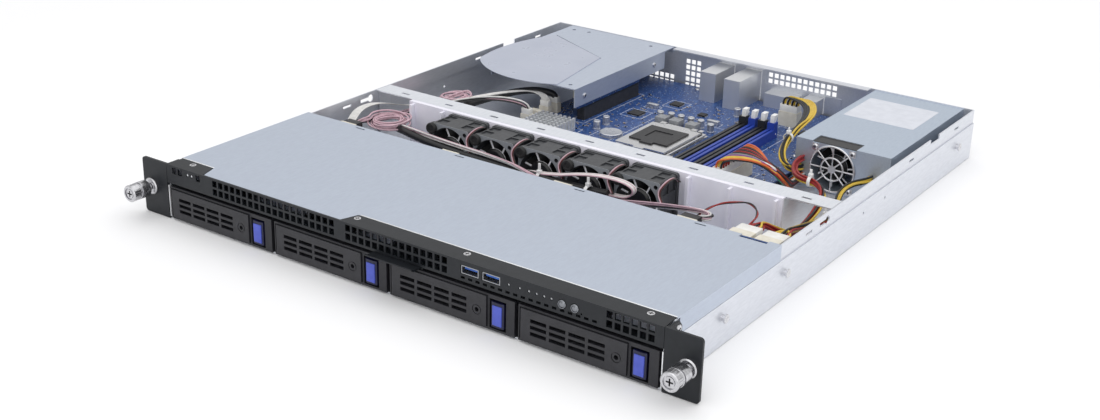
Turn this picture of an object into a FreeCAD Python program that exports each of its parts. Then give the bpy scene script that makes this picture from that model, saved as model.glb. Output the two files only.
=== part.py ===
"""A one-unit rack server with its rear lid off, as an assembly of its own pieces.

Millimetres. X runs across the front to the right, Y from the front plane to the back, Z up.
The origin is the middle of the front plane, level with the underside of the chassis.
"""

import FreeCAD, Part
import math
import os
import types

import Sketcher

SIZES = {
    # Chassis and rack
    "rack_width": 482.6,
    "rack_hole_spacing": 465.1,
    "chassis_width": 430.0,
    "chassis_depth": 510.0,
    "unit_height": 43.5,
    "sheet": 1.0,
    "fold_height": 31.0,
    "fold_step": 1.0,
    "pan_front": 2.0,
    "gap": 0.3,
    # Ears and thumbscrews
    "ear_thickness": 2.0,
    "ear_leg": 17.0,
    "ear_corner": 2.5,
    "ferrule_radius": 6.5,
    "ferrule_barrel": 4.4,
    "ferrule_flange": 2.0,
    "knob_radius": 6.5,
    "knob_length": 16.5,
    "screw_radius": 2.5,
    "screw_end": 9.0,
    "screw_travel": 3.2,
    "clip_radius": 4.2,
    "clip_thickness": 0.9,
    "running_fit": 0.06,
    # Front panel
    "panel_sheet": 1.2,
    "panel_low": 28.9,
    "lip_depth": 15.0,
    "lip_slant": 4.5,
    "lip_left_end": -177.0,
    "lip_right_start": -43.0,
    "vent_width": 4.4,
    "vent_height": 4.8,
    "vent_pitch": 6.0,
    "vent_row_pitch": 6.4,
    "vent_row_low": 30.8,
    "button_radius": 3.0,
    "button_height": 36.0,
    "button_travel": 1.2,
    "tag_left": -13.0,
    "tag_right": 28.0,
    "tag_length": 62.0,
    "tag_thickness": 1.1,
    "tag_reach": 9.0,
    # Front cover
    "cover_rear": 151.0,
    # Drive bays
    "bay_count": 4,
    "divider_rear": 158.0,
    "tray_width": 104.0,
    "tray_length": 158.0,
    "tray_low": 2.2,
    "tray_sheet": 1.0,
    "tray_rail": 18.0,
    "bezel_depth": 10.0,
    "bezel_low": 1.2,
    "bezel_top": 26.4,
    "lever_length": 78.5,
    "lever_thickness": 4.0,
    "lever_proud": 1.2,
    "lever_pivot": 3.6,
    "lever_knuckle": 2.4,
    "grille_width": 12.4,
    "grille_height": 2.6,
    "grille_pitch": 14.6,
    "grille_row_pitch": 4.5,
    "latch_width": 10.0,
    "latch_height": 17.8,
    "latch_travel": 2.0,
    # Backplane and fans
    "backplane_front": 163.0,
    "board_thickness": 1.6,
    "backplane_top": 36.0,
    "fan_size": 40.0,
    "fan_depth": 28.0,
    "fan_front": 199.0,
    "fan_left": -127.3,
    "fan_pitch": 44.7,
    "fan_count": 5,
    "fan_bore": 18.6,
    "fan_flange": 3.5,
    "fan_relief": 0.5,
    "fan_pocket": 1.6,
    "fan_pocket_start": 8.0,
    "fan_rib": 1.6,
    "fan_hub": 10.5,
    "fan_blades": 7,
    "fan_shaft": 1.5,
    "shroud_left": -172.0,
    "shroud_right": 177.0,
    "shroud_thickness": 2.0,
    "bar_front": 232.0,
    "bar_rear": 250.0,
    # Motherboard
    "board_left": -124.0,
    "board_width": 244.0,
    "board_front": 261.0,
    "board_length": 244.0,
    "board_low": 8.0,
    "standoff_radius": 3.0,
    "socket_y": 350.0,
    "socket_side": 43.0,
    "socket_height": 3.9,
    "load_width": 48.0,
    "load_front": 318.0,
    "load_hinge": 383.0,
    "load_sheet": 1.2,
    "load_rod": 1.4,
    "lever_wire": 1.0,
    "dimm_first": 42.5,
    "dimm_pitch": 9.2,
    "dimm_front": 283.0,
    "dimm_length": 142.0,
    "dimm_width": 6.6,
    "dimm_count": 4,
    "dimm_height": 8.4,
    "dimm_tower": 14.4,
    "latch_top": 20.4,
    # Riser
    "slot_x": -85.0,
    "slot_front": 357.0,
    "slot_length": 90.0,
    "slot_width": 7.5,
    "slot_height": 11.2,
    "slot_clearance": 0.2,
    "riser_left": -198.0,
    "riser_right": -81.0,
    "riser_front": 341.0,
    "riser_top": 42.2,
    "riser_flange": 16.0,
    "guide_thickness": 0.5,
    # Power supply
    "psu_left": 124.0,
    "psu_width": 81.0,
    "psu_front": 356.0,
    "psu_top": 41.7,
    "psu_fan_x": 157.0,
    "psu_fan_z": 21.5,
    "guard_wire": 0.8,
}

doc = FreeCAD.newDocument("rack_server")
sheet = doc.addObject("Spreadsheet::Sheet", "Sizes")


class Size:
    """A length with its value and the sheet formula that gives it."""

    def __init__(self, value, formula):
        self.value = float(value)
        self.formula = formula

    def join(self, sign, other, value):
        return Size(value, f"({self.formula} {sign} {other.formula})")

    def __add__(self, other):
        other = size_of(other)
        return self.join("+", other, self.value + other.value)

    def __sub__(self, other):
        other = size_of(other)
        return self.join("-", other, self.value - other.value)

    def __mul__(self, other):
        other = size_of(other)
        return self.join("*", other, self.value * other.value)

    def __truediv__(self, other):
        other = size_of(other)
        return self.join("/", other, self.value / other.value)

    def __radd__(self, other):
        return size_of(other) + self

    def __rsub__(self, other):
        return size_of(other) - self

    def __rmul__(self, other):
        return size_of(other) * self

    def __neg__(self):
        return size_of(-1) * self


def size_of(number):
    """A plain number as a size."""
    if isinstance(number, Size):
        return number
    return Size(number, f"({float(number)})")


def fill_sheet():
    """Every driving size as a named cell, and the same names as sizes to build with."""
    named = {}
    for row, (name, value) in enumerate(SIZES.items(), start=1):
        sheet.set(f"A{row}", str(value))
        sheet.setAlias(f"A{row}", name)
        named[name] = Size(value, "Sizes." + name)
    doc.recompute()
    return types.SimpleNamespace(**named)


S = fill_sheet()
nodes = []

VECTOR = FreeCAD.Vector
TURN_TO = {
    "X": FreeCAD.Rotation(VECTOR(0, 1, 0), 90),
    "Y": FreeCAD.Rotation(VECTOR(1, 0, 0), -90),
    "Z": FreeCAD.Rotation(),
}


def finish(feature):
    """Marks a feature as one finished sub-part, which gets a file of its own."""
    nodes.append(feature)
    return feature


def bind(feature, prop, size):
    feature.setExpression(prop, size_of(size).formula)


def place(feature, corner):
    for axis, size in zip("xyz", corner):
        bind(feature, "Placement.Base." + axis, size)


def box(name, low, high):
    """A block between two opposite corners."""
    block = doc.addObject("Part::Box", name)
    for prop, start, end in zip(("Length", "Width", "Height"), low, high):
        bind(block, prop, size_of(end) - start)
    place(block, low)
    return block


def rod(name, start, axis, radius, length):
    """A round bar from a point along an axis, or along the upright turned by a rotation."""
    bar = doc.addObject("Part::Cylinder", name)
    turn = TURN_TO[axis] if isinstance(axis, str) else axis
    bar.Placement = FreeCAD.Placement(VECTOR(), turn)
    bind(bar, "Radius", radius)
    bind(bar, "Height", length)
    place(bar, start)
    return bar


def ring(name, centre, axis, radius, wire):
    """A round wire bent to a full ring."""
    hoop = doc.addObject("Part::Torus", name)
    hoop.Placement = FreeCAD.Placement(VECTOR(), TURN_TO[axis])
    bind(hoop, "Radius1", radius)
    bind(hoop, "Radius2", wire)
    place(hoop, centre)
    return hoop


def fuse(name, pieces):
    joined = doc.addObject("Part::MultiFuse", name)
    joined.Shapes = pieces
    joined.Refine = True
    return joined


def cut(name, base, tools):
    left = doc.addObject("Part::Cut", name)
    left.Base = base
    left.Tool = tools[0] if len(tools) == 1 else fuse(name + "_tools", tools)
    left.Refine = True
    return left


def group(name, pieces):
    """Separate solids that share one node."""
    together = doc.addObject("Part::Compound", name)
    together.Links = pieces
    return together


def new_body(name):
    body = doc.addObject("PartDesign::Body", name)
    body.AllowCompound = True
    return body


def origin_part(body, role):
    return next(part for part in body.Origin.OriginFeatures if part.Role == role)


def attach(body, name, plane, level, across=0):
    """An empty sketch on one of a body's planes, at a level along that plane's axis."""
    sketch = body.newObject("Sketcher::SketchObject", name)
    sketch.AttachmentSupport = [(origin_part(body, plane), "")]
    sketch.MapMode = "FlatFace"
    outward = -1 if plane == "XZ_Plane" else 1
    bind(sketch, "AttachmentOffset.Base.z", size_of(level) * outward)
    bind(sketch, "AttachmentOffset.Base.x", across)
    return sketch


def fix_point(sketch, edge, point, x, y):
    for kind, size in (("DistanceX", x), ("DistanceY", y)):
        index = sketch.addConstraint(Sketcher.Constraint(kind, edge, point, size.value))
        sketch.setExpression(f"Constraints[{index}]", size.formula)


def outline(body, name, plane, level, *polygons, across=0):
    """Closed outlines of straight edges, each corner held by its sizes."""
    sketch = attach(body, name, plane, level, across)
    for polygon in polygons:
        corners = [(size_of(x), size_of(y)) for x, y in polygon]
        first = sketch.GeometryCount
        count = len(corners)
        for i, (x, y) in enumerate(corners):
            end_x, end_y = corners[(i + 1) % count]
            edge = Part.LineSegment(VECTOR(x.value, y.value, 0), VECTOR(end_x.value, end_y.value, 0))
            sketch.addGeometry(edge, False)
        for i in range(count):
            following = first + (i + 1) % count
            sketch.addConstraint(Sketcher.Constraint("Coincident", first + i, 2, following, 1))
        for i, (x, y) in enumerate(corners):
            fix_point(sketch, first + i, 1, x, y)
    return sketch


def circles(body, name, plane, level, *rounds):
    """Circles given as (x, y, radius)."""
    sketch = attach(body, name, plane, level)
    for x, y, radius in rounds:
        x, y, radius = size_of(x), size_of(y), size_of(radius)
        circle = Part.Circle(VECTOR(x.value, y.value, 0), VECTOR(0, 0, 1), radius.value)
        edge = sketch.addGeometry(circle, False)
        fix_point(sketch, edge, 3, x, y)
        index = sketch.addConstraint(Sketcher.Constraint("Radius", edge, radius.value))
        sketch.setExpression(f"Constraints[{index}]", radius.formula)
    return sketch


def on_front_plane(sketch):
    return sketch.AttachmentSupport[0][0].Role == "XZ_Plane"


def pad(body, name, sketch, length):
    """Raises an outline along the positive axis of its plane."""
    feature = body.newObject("PartDesign::Pad", name)
    feature.Profile = sketch
    feature.Reversed = on_front_plane(sketch)
    bind(feature, "Length", length)
    return feature


def pocket(body, name, sketch, depth):
    """Cuts an outline along the positive axis of its plane."""
    feature = body.newObject("PartDesign::Pocket", name)
    feature.Profile = sketch
    feature.Reversed = not on_front_plane(sketch)
    bind(feature, "Length", depth)
    return feature


def revolve(body, name, sketch):
    """Turns a half outline fully round the sketch's upright axis."""
    feature = body.newObject("PartDesign::Revolution", name)
    feature.Profile = sketch
    feature.ReferenceAxis = (sketch, ["V_Axis"])
    feature.Angle = 360
    return feature


def repeat(body, name, feature, axis, step, count, axis_across=None, step_across=0, count_across=1):
    """A row, or a grid, of one feature."""
    row = body.newObject("PartDesign::LinearPattern", name)
    row.Originals = [feature]
    row.Direction = (origin_part(body, axis), [""])
    bind(row, "Length", size_of(step) * (size_of(count) - 1))
    bind(row, "Occurrences", count)
    if axis_across:
        row.Direction2 = (origin_part(body, axis_across), [""])
        bind(row, "Length2", size_of(step_across) * (size_of(count_across) - 1))
        bind(row, "Occurrences2", count_across)
    body.Tip = row
    return row


def round_edges(body, name, base, radius, wanted):
    """Rounds the edges of a feature that a test picks out."""
    doc.recompute()
    picked = [f"Edge{i}" for i, edge in enumerate(base.Shape.Edges, start=1) if wanted(edge)]
    feature = body.newObject("PartDesign::Fillet", name)
    feature.Base = (base, picked)
    bind(feature, "Radius", radius)
    return feature


def tube(name, points, radius):
    """A round bundle along straight runs joined by the largest arcs that the runs leave room for."""
    share = 0.45
    path = [VECTOR(*point) for point in points]
    edges = []
    radii = []
    start = path[0]
    for before, corner, after in zip(path, path[1:], path[2:]):
        run_in = (before - corner).normalize()
        run_out = (after - corner).normalize()
        reach = share * min((before - corner).Length, (after - corner).Length)
        arc_start = corner + run_in * reach
        arc_end = corner + run_out * reach
        bisector = (run_in + run_out).normalize()
        centre = corner + bisector * (reach / bisector.dot(run_in))
        arc_radius = (centre - arc_start).Length
        middle = centre + (corner - centre).normalize() * arc_radius
        edges.append(Part.LineSegment(start, arc_start).toShape())
        edges.append(Part.Arc(arc_start, middle, arc_end).toShape())
        radii.append(round(arc_radius, 1))
        start = arc_end
    edges.append(Part.LineSegment(start, path[-1]).toShape())
    spine = Part.Wire(edges)
    section = Part.Wire(Part.Circle(path[0], path[1] - path[0], radius).toShape())
    bundle = doc.addObject("Part::Feature", name)
    bundle.Shape = spine.makePipeShell([section], True, True)
    print(name, "bend radii", radii, "length", round(spine.Length, 1))
    return bundle


# Levels and half widths that several pieces share
HALF = S.chassis_width / 2
INNER_HALF = HALF - S.sheet
UPPER_OUTER = HALF - S.fold_step
UPPER_INNER = UPPER_OUTER - S.sheet
WALL_TOP = S.unit_height - S.sheet
REAR_INNER = S.chassis_depth - S.sheet
RACK_HALF = S.rack_width / 2
SCREW_X = S.rack_hole_spacing / 2
SCREW_Z = S.unit_height / 2
BOARD_TOP = S.board_low + S.board_thickness
BAY_PITCH = 2 * INNER_HALF / S.bay_count
FAN_Z = S.sheet + 0.5 + S.fan_size / 2
FAN_REAR = S.fan_front + S.fan_depth
CLIP_FRONT = S.ear_thickness + S.gap
KNOB_BACK = -(S.ferrule_flange + S.screw_travel + S.gap)
KNOB_FRONT = KNOB_BACK - S.knob_length

# Places of small features on the front panel
LIP_SCREWS = (-198, -36, 59, 199)
LIP_SCREW_Y = 10.7
LIP_SCREW_RADIUS = 2.6
LIP_SHANK = 1.3
LIP_RECESS = 0.7
USB_PORTS = (69.2, 86.4)
USB_WIDTH = 14.6
USB_HEIGHT = 6.4
USB_Z = 37.2
BUTTONS = {"power_button": 141.5, "id_button": 151.1}
BUTTON_STEM_END = 6.4
SWITCH_FRONT = S.button_travel + BUTTON_STEM_END + S.gap

# Parts of a drive tray's front
LEVER_LOW = S.bezel_low + 1.7
LEVER_HIGH = S.bezel_top - 1.7
LEVER_PIVOT_Y = S.lever_knuckle - S.lever_proud
PIN_RADIUS = 1.0
PIN_DEPTH = 0.8
LATCH_MIDDLE = (S.bezel_low + S.bezel_top) / 2 - 0.7
GRILLE_LOW = 7.6
STEM_INSET = 3
LATCH_PROUD = 0.8

# Levels inside a fan, measured from its front
STATOR_FRONT = S.fan_depth - 3
STATOR_RADIUS = S.fan_hub - 1
SHAFT_DEPTH = 2

# Processor socket, memory slots and board fixings
STANDOFFS = [(12, 10), (122, 10), (232, 10), (12, 132), (232, 132), (12, 236), (78, 236), (232, 236)]
PLATE_LOW = BOARD_TOP + S.socket_height + 0.5
FRAME_TOP = BOARD_TOP + 1.2
ROD_Z = PLATE_LOW - 0.8
LEVER_X = S.load_width / 2 + 0.5 + S.lever_wire
LEVER_Z = FRAME_TOP + 0.6 + S.lever_wire
LEVER_Y = S.load_hinge + 1
LUG = 5.2
CAP_WINDOW = 32
DIMM_REAR = S.dimm_front + S.dimm_length
LATCH_Y = DIMM_REAR - 2.6
LATCH_Z = BOARD_TOP + 4
LATCH_PIN = 0.9

# Connectors as left, front, right and rear, and the depths of the backplane's sockets
MAIN_SOCKET = (88, 282, 98, 334)
PROCESSOR_SOCKET = (58, 456, 76, 466)
POWER_SOCKET_TOP = BOARD_TOP + 13
HEADERS = (316, 330, 344, 358)
HEADER_LENGTH = 6
HEADER_TOP = BOARD_TOP + 9
DATA_SOCKET_MIDDLE = 22
DATA_SOCKET_DEPTH = 8
DRIVE_SOCKET_DEPTH = 10

# Rear ports as left, right, front and top
PORTS = {
    "left_port_stack": (-31, -15, 472, 37),
    "right_port_stack": (-3, 13, 466, 37),
    "video_port": (24, 55, 494, 22.1),
    "usb_port_stack": (62, 77, 492, 24.6),
}
PORT_REAR = S.chassis_depth + 0.6
PORT_CAVITY = 12

# Riser, power supply and rail places
CARD_LOW = BOARD_TOP + 4.3
FILM_REAR = S.riser_front + 128
PSU_RIGHT = S.psu_left + S.psu_width
PSU_FAN_FRONT = S.psu_front + 2
INLET = (S.psu_left + 42, 10.5, S.psu_left + 70, 31)
INLET_DEPTH = 19
INLET_CAVITY = 15
GUARD_REACH = S.fan_size / 2 - 4
GUARD_HUB = S.guard_wire * 4
SPOKE_ROOT = S.guard_wire * 2.8
GUARD_SPOKES = 8
GUARD_CORNERS = [(x, z) for x in (-1, 1) for z in (-1, 1)]
RAIL_STUDS = (73, 159, 473)
RAIL_STUD_Z = 20.4
RAIL_STUD_RADIUS = 2.2

# Openings of the rear wall
REAR_VENT = 4.2
REAR_VENT_PITCH = 5.8
IO_LEFT = -49
IO_STEP = 16
IO_RIGHT = 92
IO_LOW = BOARD_TOP - 1.2
IO_HIGH = 38
IO_SHELF = 25
SLOT_LOW = 20
SLOT_HIGH = 35


def rectangle(left, low, right, high):
    return [(left, low), (right, low), (right, high), (left, high)]


def io_window(margin):
    """The stepped outline of the port window, grown by a margin."""
    return [
        (IO_LEFT - margin, IO_LOW - margin),
        (IO_RIGHT + margin, IO_LOW - margin),
        (IO_RIGHT + margin, IO_SHELF + margin),
        (IO_STEP + margin, IO_SHELF + margin),
        (IO_STEP + margin, IO_HIGH + margin),
        (IO_LEFT - margin, IO_HIGH + margin),
    ]


IO_WINDOW = io_window(0)
SLOT_WINDOW = rectangle(S.riser_left + 4, SLOT_LOW, S.riser_right - 22, SLOT_HIGH)


def chassis_pan():
    """The folded steel tray: floor, side walls with a step near the top, and the rear wall."""
    body = new_body("chassis_pan")
    half_profile = [
        (HALF, 0),
        (HALF, S.fold_height),
        (UPPER_OUTER, S.fold_height),
        (UPPER_OUTER, WALL_TOP),
        (UPPER_INNER, WALL_TOP),
        (UPPER_INNER, S.fold_height - S.sheet),
        (INNER_HALF, S.fold_height - S.sheet),
        (INNER_HALF, S.sheet),
    ]
    mirrored = [(-x, z) for x, z in reversed(half_profile)]
    shell = outline(body, "pan_profile", "XZ_Plane", S.pan_front, half_profile + mirrored)
    pad(body, "pan_shell", shell, S.chassis_depth - S.pan_front)
    half_rear = [
        (INNER_HALF, S.sheet),
        (INNER_HALF, S.fold_height - S.sheet),
        (UPPER_INNER, S.fold_height - S.sheet),
        (UPPER_INNER, WALL_TOP),
    ]
    mirrored_rear = [(-x, z) for x, z in reversed(half_rear)]
    rear = outline(body, "rear_profile", "XZ_Plane", REAR_INNER, half_rear + mirrored_rear)
    pad(body, "rear_wall", rear, S.sheet)
    flange_width = 8
    flange = outline(
        body, "rear_flange_outline", "XY_Plane", WALL_TOP - S.sheet,
        rectangle(S.riser_right + 3, REAR_INNER - flange_width, S.psu_left - 4, REAR_INNER),
    )
    pad(body, "rear_flange", flange, S.sheet)
    windows = outline(
        body, "rear_windows_outline", "XZ_Plane", REAR_INNER - S.gap,
        IO_WINDOW,
        rectangle(S.psu_left + 5, 4.5, S.psu_left + S.psu_width - 5, S.psu_top - 4),
        SLOT_WINDOW,
    )
    pocket(body, "rear_windows", windows, 3 * S.sheet)
    for name, left, low, columns, rows in (
        ("tall_vents", -67, 6, 3, 5),
        ("low_vents", -107, 5, 5, 2),
        ("wide_vents", 20, 27.4, 12, 2),
    ):
        first = outline(
            body, name + "_outline", "XZ_Plane", REAR_INNER - S.gap,
            rectangle(left, low, left + REAR_VENT, low + REAR_VENT),
        )
        hole = pocket(body, name + "_first", first, 3 * S.sheet)
        repeat(body, name, hole, "X_Axis", REAR_VENT_PITCH, columns, "Z_Axis", REAR_VENT_PITCH, rows)
    strip_middle = (S.fold_height + WALL_TOP) / 2
    slots = outline(
        body, "wall_slots_outline", "YZ_Plane", -HALF - 1,
        rectangle(190, strip_middle - 1, 200, strip_middle + 1),
        rectangle(371, strip_middle - 1, 380, strip_middle + 1),
        rectangle(466, strip_middle - 1, 475, strip_middle + 1),
        rectangle(212, strip_middle - 1.5, 222, strip_middle + 1.5),
        rectangle(414, WALL_TOP - 4, 432, WALL_TOP + 1),
        rectangle(325, 20.5, 327, 22.5),
        rectangle(286, 20.5, 288, 22.5),
    )
    pocket(body, "wall_slots", slots, S.chassis_width + 2)
    keyhole = circles(body, "keyholes_outline", "YZ_Plane", -HALF - 1, (224.5, strip_middle, 3.2))
    pocket(body, "keyholes", keyhole, S.chassis_width + 2)
    finish(body)


def front_panel():
    """The black folded strip over the drive bays, with its vents, ports and top lips."""
    body = new_body("front_panel")
    face = outline(body, "panel_outline", "XZ_Plane", 0, rectangle(-HALF, S.panel_low, HALF, S.unit_height))
    pad(body, "panel_face", face, S.panel_sheet)
    lips = outline(
        body, "lip_outline", "XY_Plane", WALL_TOP,
        [
            (-HALF, S.panel_sheet),
            (S.lip_left_end, S.panel_sheet),
            (S.lip_left_end - S.lip_slant, S.lip_depth),
            (-HALF + S.sheet, S.lip_depth),
        ],
        [
            (S.lip_right_start, S.panel_sheet),
            (HALF, S.panel_sheet),
            (HALF - S.sheet, S.lip_depth),
            (S.lip_right_start + S.lip_slant, S.lip_depth),
        ],
    )
    pad(body, "panel_lips", lips, S.sheet)
    shelf = outline(
        body, "shelf_outline", "XY_Plane", S.panel_low,
        rectangle(-UPPER_INNER + S.gap, S.panel_sheet, UPPER_INNER - S.gap, S.lip_depth - 1),
    )
    pad(body, "panel_shelf", shelf, S.panel_sheet)
    guide_low = S.panel_low - S.gap * 2 - S.tag_thickness
    guide_lip = 0.4
    for name, edge, side in (("left", S.tag_left, -1), ("right", S.tag_right, 1)):
        outer = edge + side * (S.gap + S.sheet)
        inner = edge + side * S.gap
        tip = edge - side * S.sheet
        profile = [
            (outer, S.panel_low),
            (outer, guide_low - guide_lip),
            (tip, guide_low - guide_lip),
            (tip, guide_low),
            (inner, guide_low),
            (inner, S.panel_low),
        ]
        guide = outline(body, name + "_guide_outline", "XZ_Plane", S.panel_sheet, profile)
        pad(body, name + "_tag_guide", guide, S.lip_depth - 3)
    for name, level, radius in (
        ("lip_screw_holes", WALL_TOP - S.gap, LIP_SHANK),
        ("lip_screw_seats", S.unit_height - LIP_RECESS, LIP_SCREW_RADIUS),
    ):
        rounds = [(x, LIP_SCREW_Y, radius + S.gap) for x in LIP_SCREWS]
        pocket(body, name, circles(body, name + "_outline", "XY_Plane", level, *rounds), 2 * S.sheet)
    vent_rows = (("left_vents", -166.7, 20), ("middle_vents", -37.8, 15), ("right_vents", 174.2, 6))
    for name, left, columns in vent_rows:
        first = outline(
            body, name + "_outline", "XZ_Plane", -S.gap,
            rectangle(left, S.vent_row_low, left + S.vent_width, S.vent_row_low + S.vent_height),
        )
        hole = pocket(body, name + "_first", first, S.panel_sheet + S.gap)
        repeat(body, name, hole, "X_Axis", S.vent_pitch, columns, "Z_Axis", S.vent_row_pitch, 2)
    row = outline(
        body, "port_vents_outline", "XZ_Plane", -S.gap,
        rectangle(62, S.vent_row_low, 65.4, S.vent_row_low + 1.8),
    )
    hole = pocket(body, "port_vents_first", row, S.panel_sheet + S.gap)
    repeat(body, "port_vents", hole, "X_Axis", S.vent_pitch, 18)
    ports = [
        rectangle(x - USB_WIDTH / 2, USB_Z - USB_HEIGHT / 2, x + USB_WIDTH / 2, USB_Z + USB_HEIGHT / 2)
        for x in USB_PORTS
    ]
    module_top = S.vent_row_low + S.vent_row_pitch
    module = [
        rectangle(x, module_top, x + S.vent_width, module_top + S.vent_height)
        for x in (-209, -203, -184)
    ]
    openings = outline(body, "port_outline", "XZ_Plane", -S.gap, *ports, *module)
    pocket(body, "port_openings", openings, S.panel_sheet + S.gap)
    lights = [(x, USB_Z, 1.0) for x in (100.3, 109, 116.1, 122, 127.8, 133.3)]
    dots = [(x, module_top + S.vent_height / 2, 1.3) for x in (-193, -188.7)]
    reset = [(BUTTONS["id_button"] + 5, USB_Z - 3.5, 0.7)]
    buttons = [(x, S.button_height, S.button_radius + S.gap) for x in BUTTONS.values()]
    small = circles(body, "light_outline", "XZ_Plane", -S.gap, *lights, *dots, *reset, *buttons)
    pocket(body, "light_holes", small, S.panel_sheet + S.gap)
    finish(body)


def front_cover():
    """The fixed steel top over the drives, with side flanges that lie in the wall's step."""
    body = new_body("front_cover")
    front = S.lip_depth + S.gap
    edge = S.panel_sheet + S.gap
    notch_left, notch_right, notch_depth = 185, 206, 5
    top = outline(
        body, "cover_outline", "XY_Plane", WALL_TOP,
        [
            (-HALF, S.cover_rear),
            (-HALF, front),
            (S.lip_left_end - S.lip_slant + S.gap * 2, front),
            (S.lip_left_end + S.gap * 2, edge),
            (S.lip_right_start - S.gap * 2, edge),
            (S.lip_right_start + S.lip_slant - S.gap * 2, front),
            (HALF, front),
            (HALF, S.cover_rear),
            (notch_right, S.cover_rear),
            (notch_right, S.cover_rear - notch_depth),
            (notch_left, S.cover_rear - notch_depth),
            (notch_left, S.cover_rear),
        ],
    )
    pad(body, "cover_top", top, S.sheet)
    low = S.fold_height + S.gap
    flanges = outline(
        body, "cover_flange_outline", "XY_Plane", low,
        rectangle(-HALF, front + 3, -UPPER_OUTER - 0.1, S.cover_rear),
        rectangle(UPPER_OUTER + 0.1, front + 3, HALF, S.cover_rear),
    )
    pad(body, "cover_flanges", flanges, WALL_TOP - low)
    slots = outline(
        body, "cover_slots_outline", "XY_Plane", WALL_TOP - S.gap,
        *[rectangle(x, S.cover_rear - 4.5, x + 9, S.cover_rear - 3) for x in (-160, -60, 50, 150)],
    )
    pocket(body, "cover_slots", slots, 2 * S.sheet)
    finish(body)


def rack_ears():
    """Two black angle brackets that carry the unit in the rack, one each side."""
    ears = []
    for name, side in (("left", -1), ("right", 1)):
        body = new_body(name + "_ear")
        inner = side * (HALF + S.gap)
        plate = outline(
            body, name + "_ear_outline", "XZ_Plane", 0,
            rectangle(inner, 0, side * RACK_HALF, S.unit_height),
        )
        pad(body, name + "_ear_face", plate, S.ear_thickness)
        hole = circles(
            body, name + "_ear_hole_outline", "XZ_Plane", -S.gap,
            (side * SCREW_X, SCREW_Z, S.ferrule_barrel),
        )
        bored = pocket(body, name + "_ear_hole", hole, 2 * S.ear_thickness)
        outer = side * RACK_HALF.value
        round_edges(
            body, name + "_ear_corners", bored, S.ear_corner,
            lambda edge: len(edge.Vertexes) == 2 and all(abs(v.X - outer) < 0.01 for v in edge.Vertexes)
            and abs(edge.Vertexes[0].Y - edge.Vertexes[1].Y) > 0.5,
        )
        leg_start = HALF + S.gap if side > 0 else -HALF - S.gap - S.ear_thickness
        leg = outline(
            body, name + "_leg_outline", "YZ_Plane", leg_start,
            [
                (S.ear_thickness, 2),
                (S.ear_leg - 5, 2),
                (S.ear_leg, 7),
                (S.ear_leg, S.unit_height - 5),
                (S.ear_leg - 3, S.unit_height - 1),
                (S.ear_thickness, S.unit_height - 1),
            ],
        )
        pad(body, name + "_ear_leg", leg, S.ear_thickness)
        ears.append(body)
    finish(group("rack_ears", ears))


def thumbscrews():
    """Captive screws: a knob and shank that turn, held behind the ear by a spring clip."""
    for name, side in (("left", -1), ("right", 1)):
        body = new_body(name + "_thumbscrew")
        groove = KNOB_FRONT + 8.6
        clip_seat = CLIP_FRONT
        neck = S.screw_radius - 0.6
        half = [
            (0, KNOB_FRONT + 0.8),
            (S.knob_radius - 2, KNOB_FRONT + 0.8),
            (S.knob_radius - 2, KNOB_FRONT),
            (S.knob_radius - 0.7, KNOB_FRONT),
            (S.knob_radius, KNOB_FRONT + 0.7),
            (S.knob_radius, groove - 1.2),
            (S.knob_radius - 0.8, groove - 1.2),
            (S.knob_radius - 0.8, groove),
            (S.knob_radius, groove),
            (S.knob_radius, KNOB_BACK - 1),
            (S.knob_radius - 1, KNOB_BACK),
            (S.screw_radius, KNOB_BACK),
            (S.screw_radius, clip_seat - S.running_fit),
            (neck, clip_seat - S.running_fit),
            (neck, clip_seat + S.clip_thickness + S.running_fit),
            (S.screw_radius, clip_seat + S.clip_thickness + S.running_fit),
            (S.screw_radius, S.screw_end - 0.8),
            (S.screw_radius - 0.8, S.screw_end),
            (0, S.screw_end),
        ]
        profile = outline(body, name + "_screw_profile", "XY_Plane", SCREW_Z, half, across=side * SCREW_X)
        revolve(body, name + "_screw_turn", profile)
        finish(body)
        x = side * SCREW_X
        disc = rod(name + "_clip_disc", (x, clip_seat, SCREW_Z), "Y", S.clip_radius, S.clip_thickness)
        bore = rod(
            name + "_clip_bore", (x, clip_seat - 1, SCREW_Z), "Y",
            neck + S.running_fit, S.clip_thickness + 2,
        )
        finish(cut(name + "_screw_clip", disc, [bore]))


def ferrules():
    """Flanged bushes pressed into the ears, in which the thumbscrews turn and slide."""
    made = []
    for name, side in (("left", -1), ("right", 1)):
        body = new_body(name + "_ferrule")
        bore = S.screw_radius + S.running_fit
        barrel = S.ferrule_barrel - S.running_fit
        back = S.ear_thickness
        half = [
            (bore, -S.ferrule_flange),
            (S.ferrule_radius - 0.6, -S.ferrule_flange),
            (S.ferrule_radius, -S.ferrule_flange + 0.6),
            (S.ferrule_radius, 0),
            (barrel, 0),
            (barrel, back),
            (bore, back),
        ]
        profile = outline(body, name + "_ferrule_profile", "XY_Plane", SCREW_Z, half, across=side * SCREW_X)
        revolve(body, name + "_ferrule_turn", profile)
        made.append(body)
    return made


def bay_dividers():
    """Sheet walls between the drive bays, each folded out to a foot on the floor."""
    walls = []
    foot = 5
    for i in range(1, SIZES["bay_count"]):
        body = new_body(f"divider_{i}")
        middle = BAY_PITCH * i - INNER_HALF
        profile = [
            (middle - S.sheet / 2, S.sheet),
            (middle + foot, S.sheet),
            (middle + foot, S.sheet * 1.8),
            (middle + S.sheet / 2, S.sheet * 1.8),
            (middle + S.sheet / 2, S.bezel_top),
            (middle - S.sheet / 2, S.bezel_top),
        ]
        fold = outline(body, f"divider_profile_{i}", "XZ_Plane", S.bezel_depth, profile)
        pad(body, f"divider_wall_{i}", fold, S.divider_rear - S.bezel_depth)
        walls.append(body)
    finish(group("bay_dividers", walls))


def tray_left(i):
    return BAY_PITCH * (i - 1) - INNER_HALF + (BAY_PITCH - S.tray_width) / 2


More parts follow.
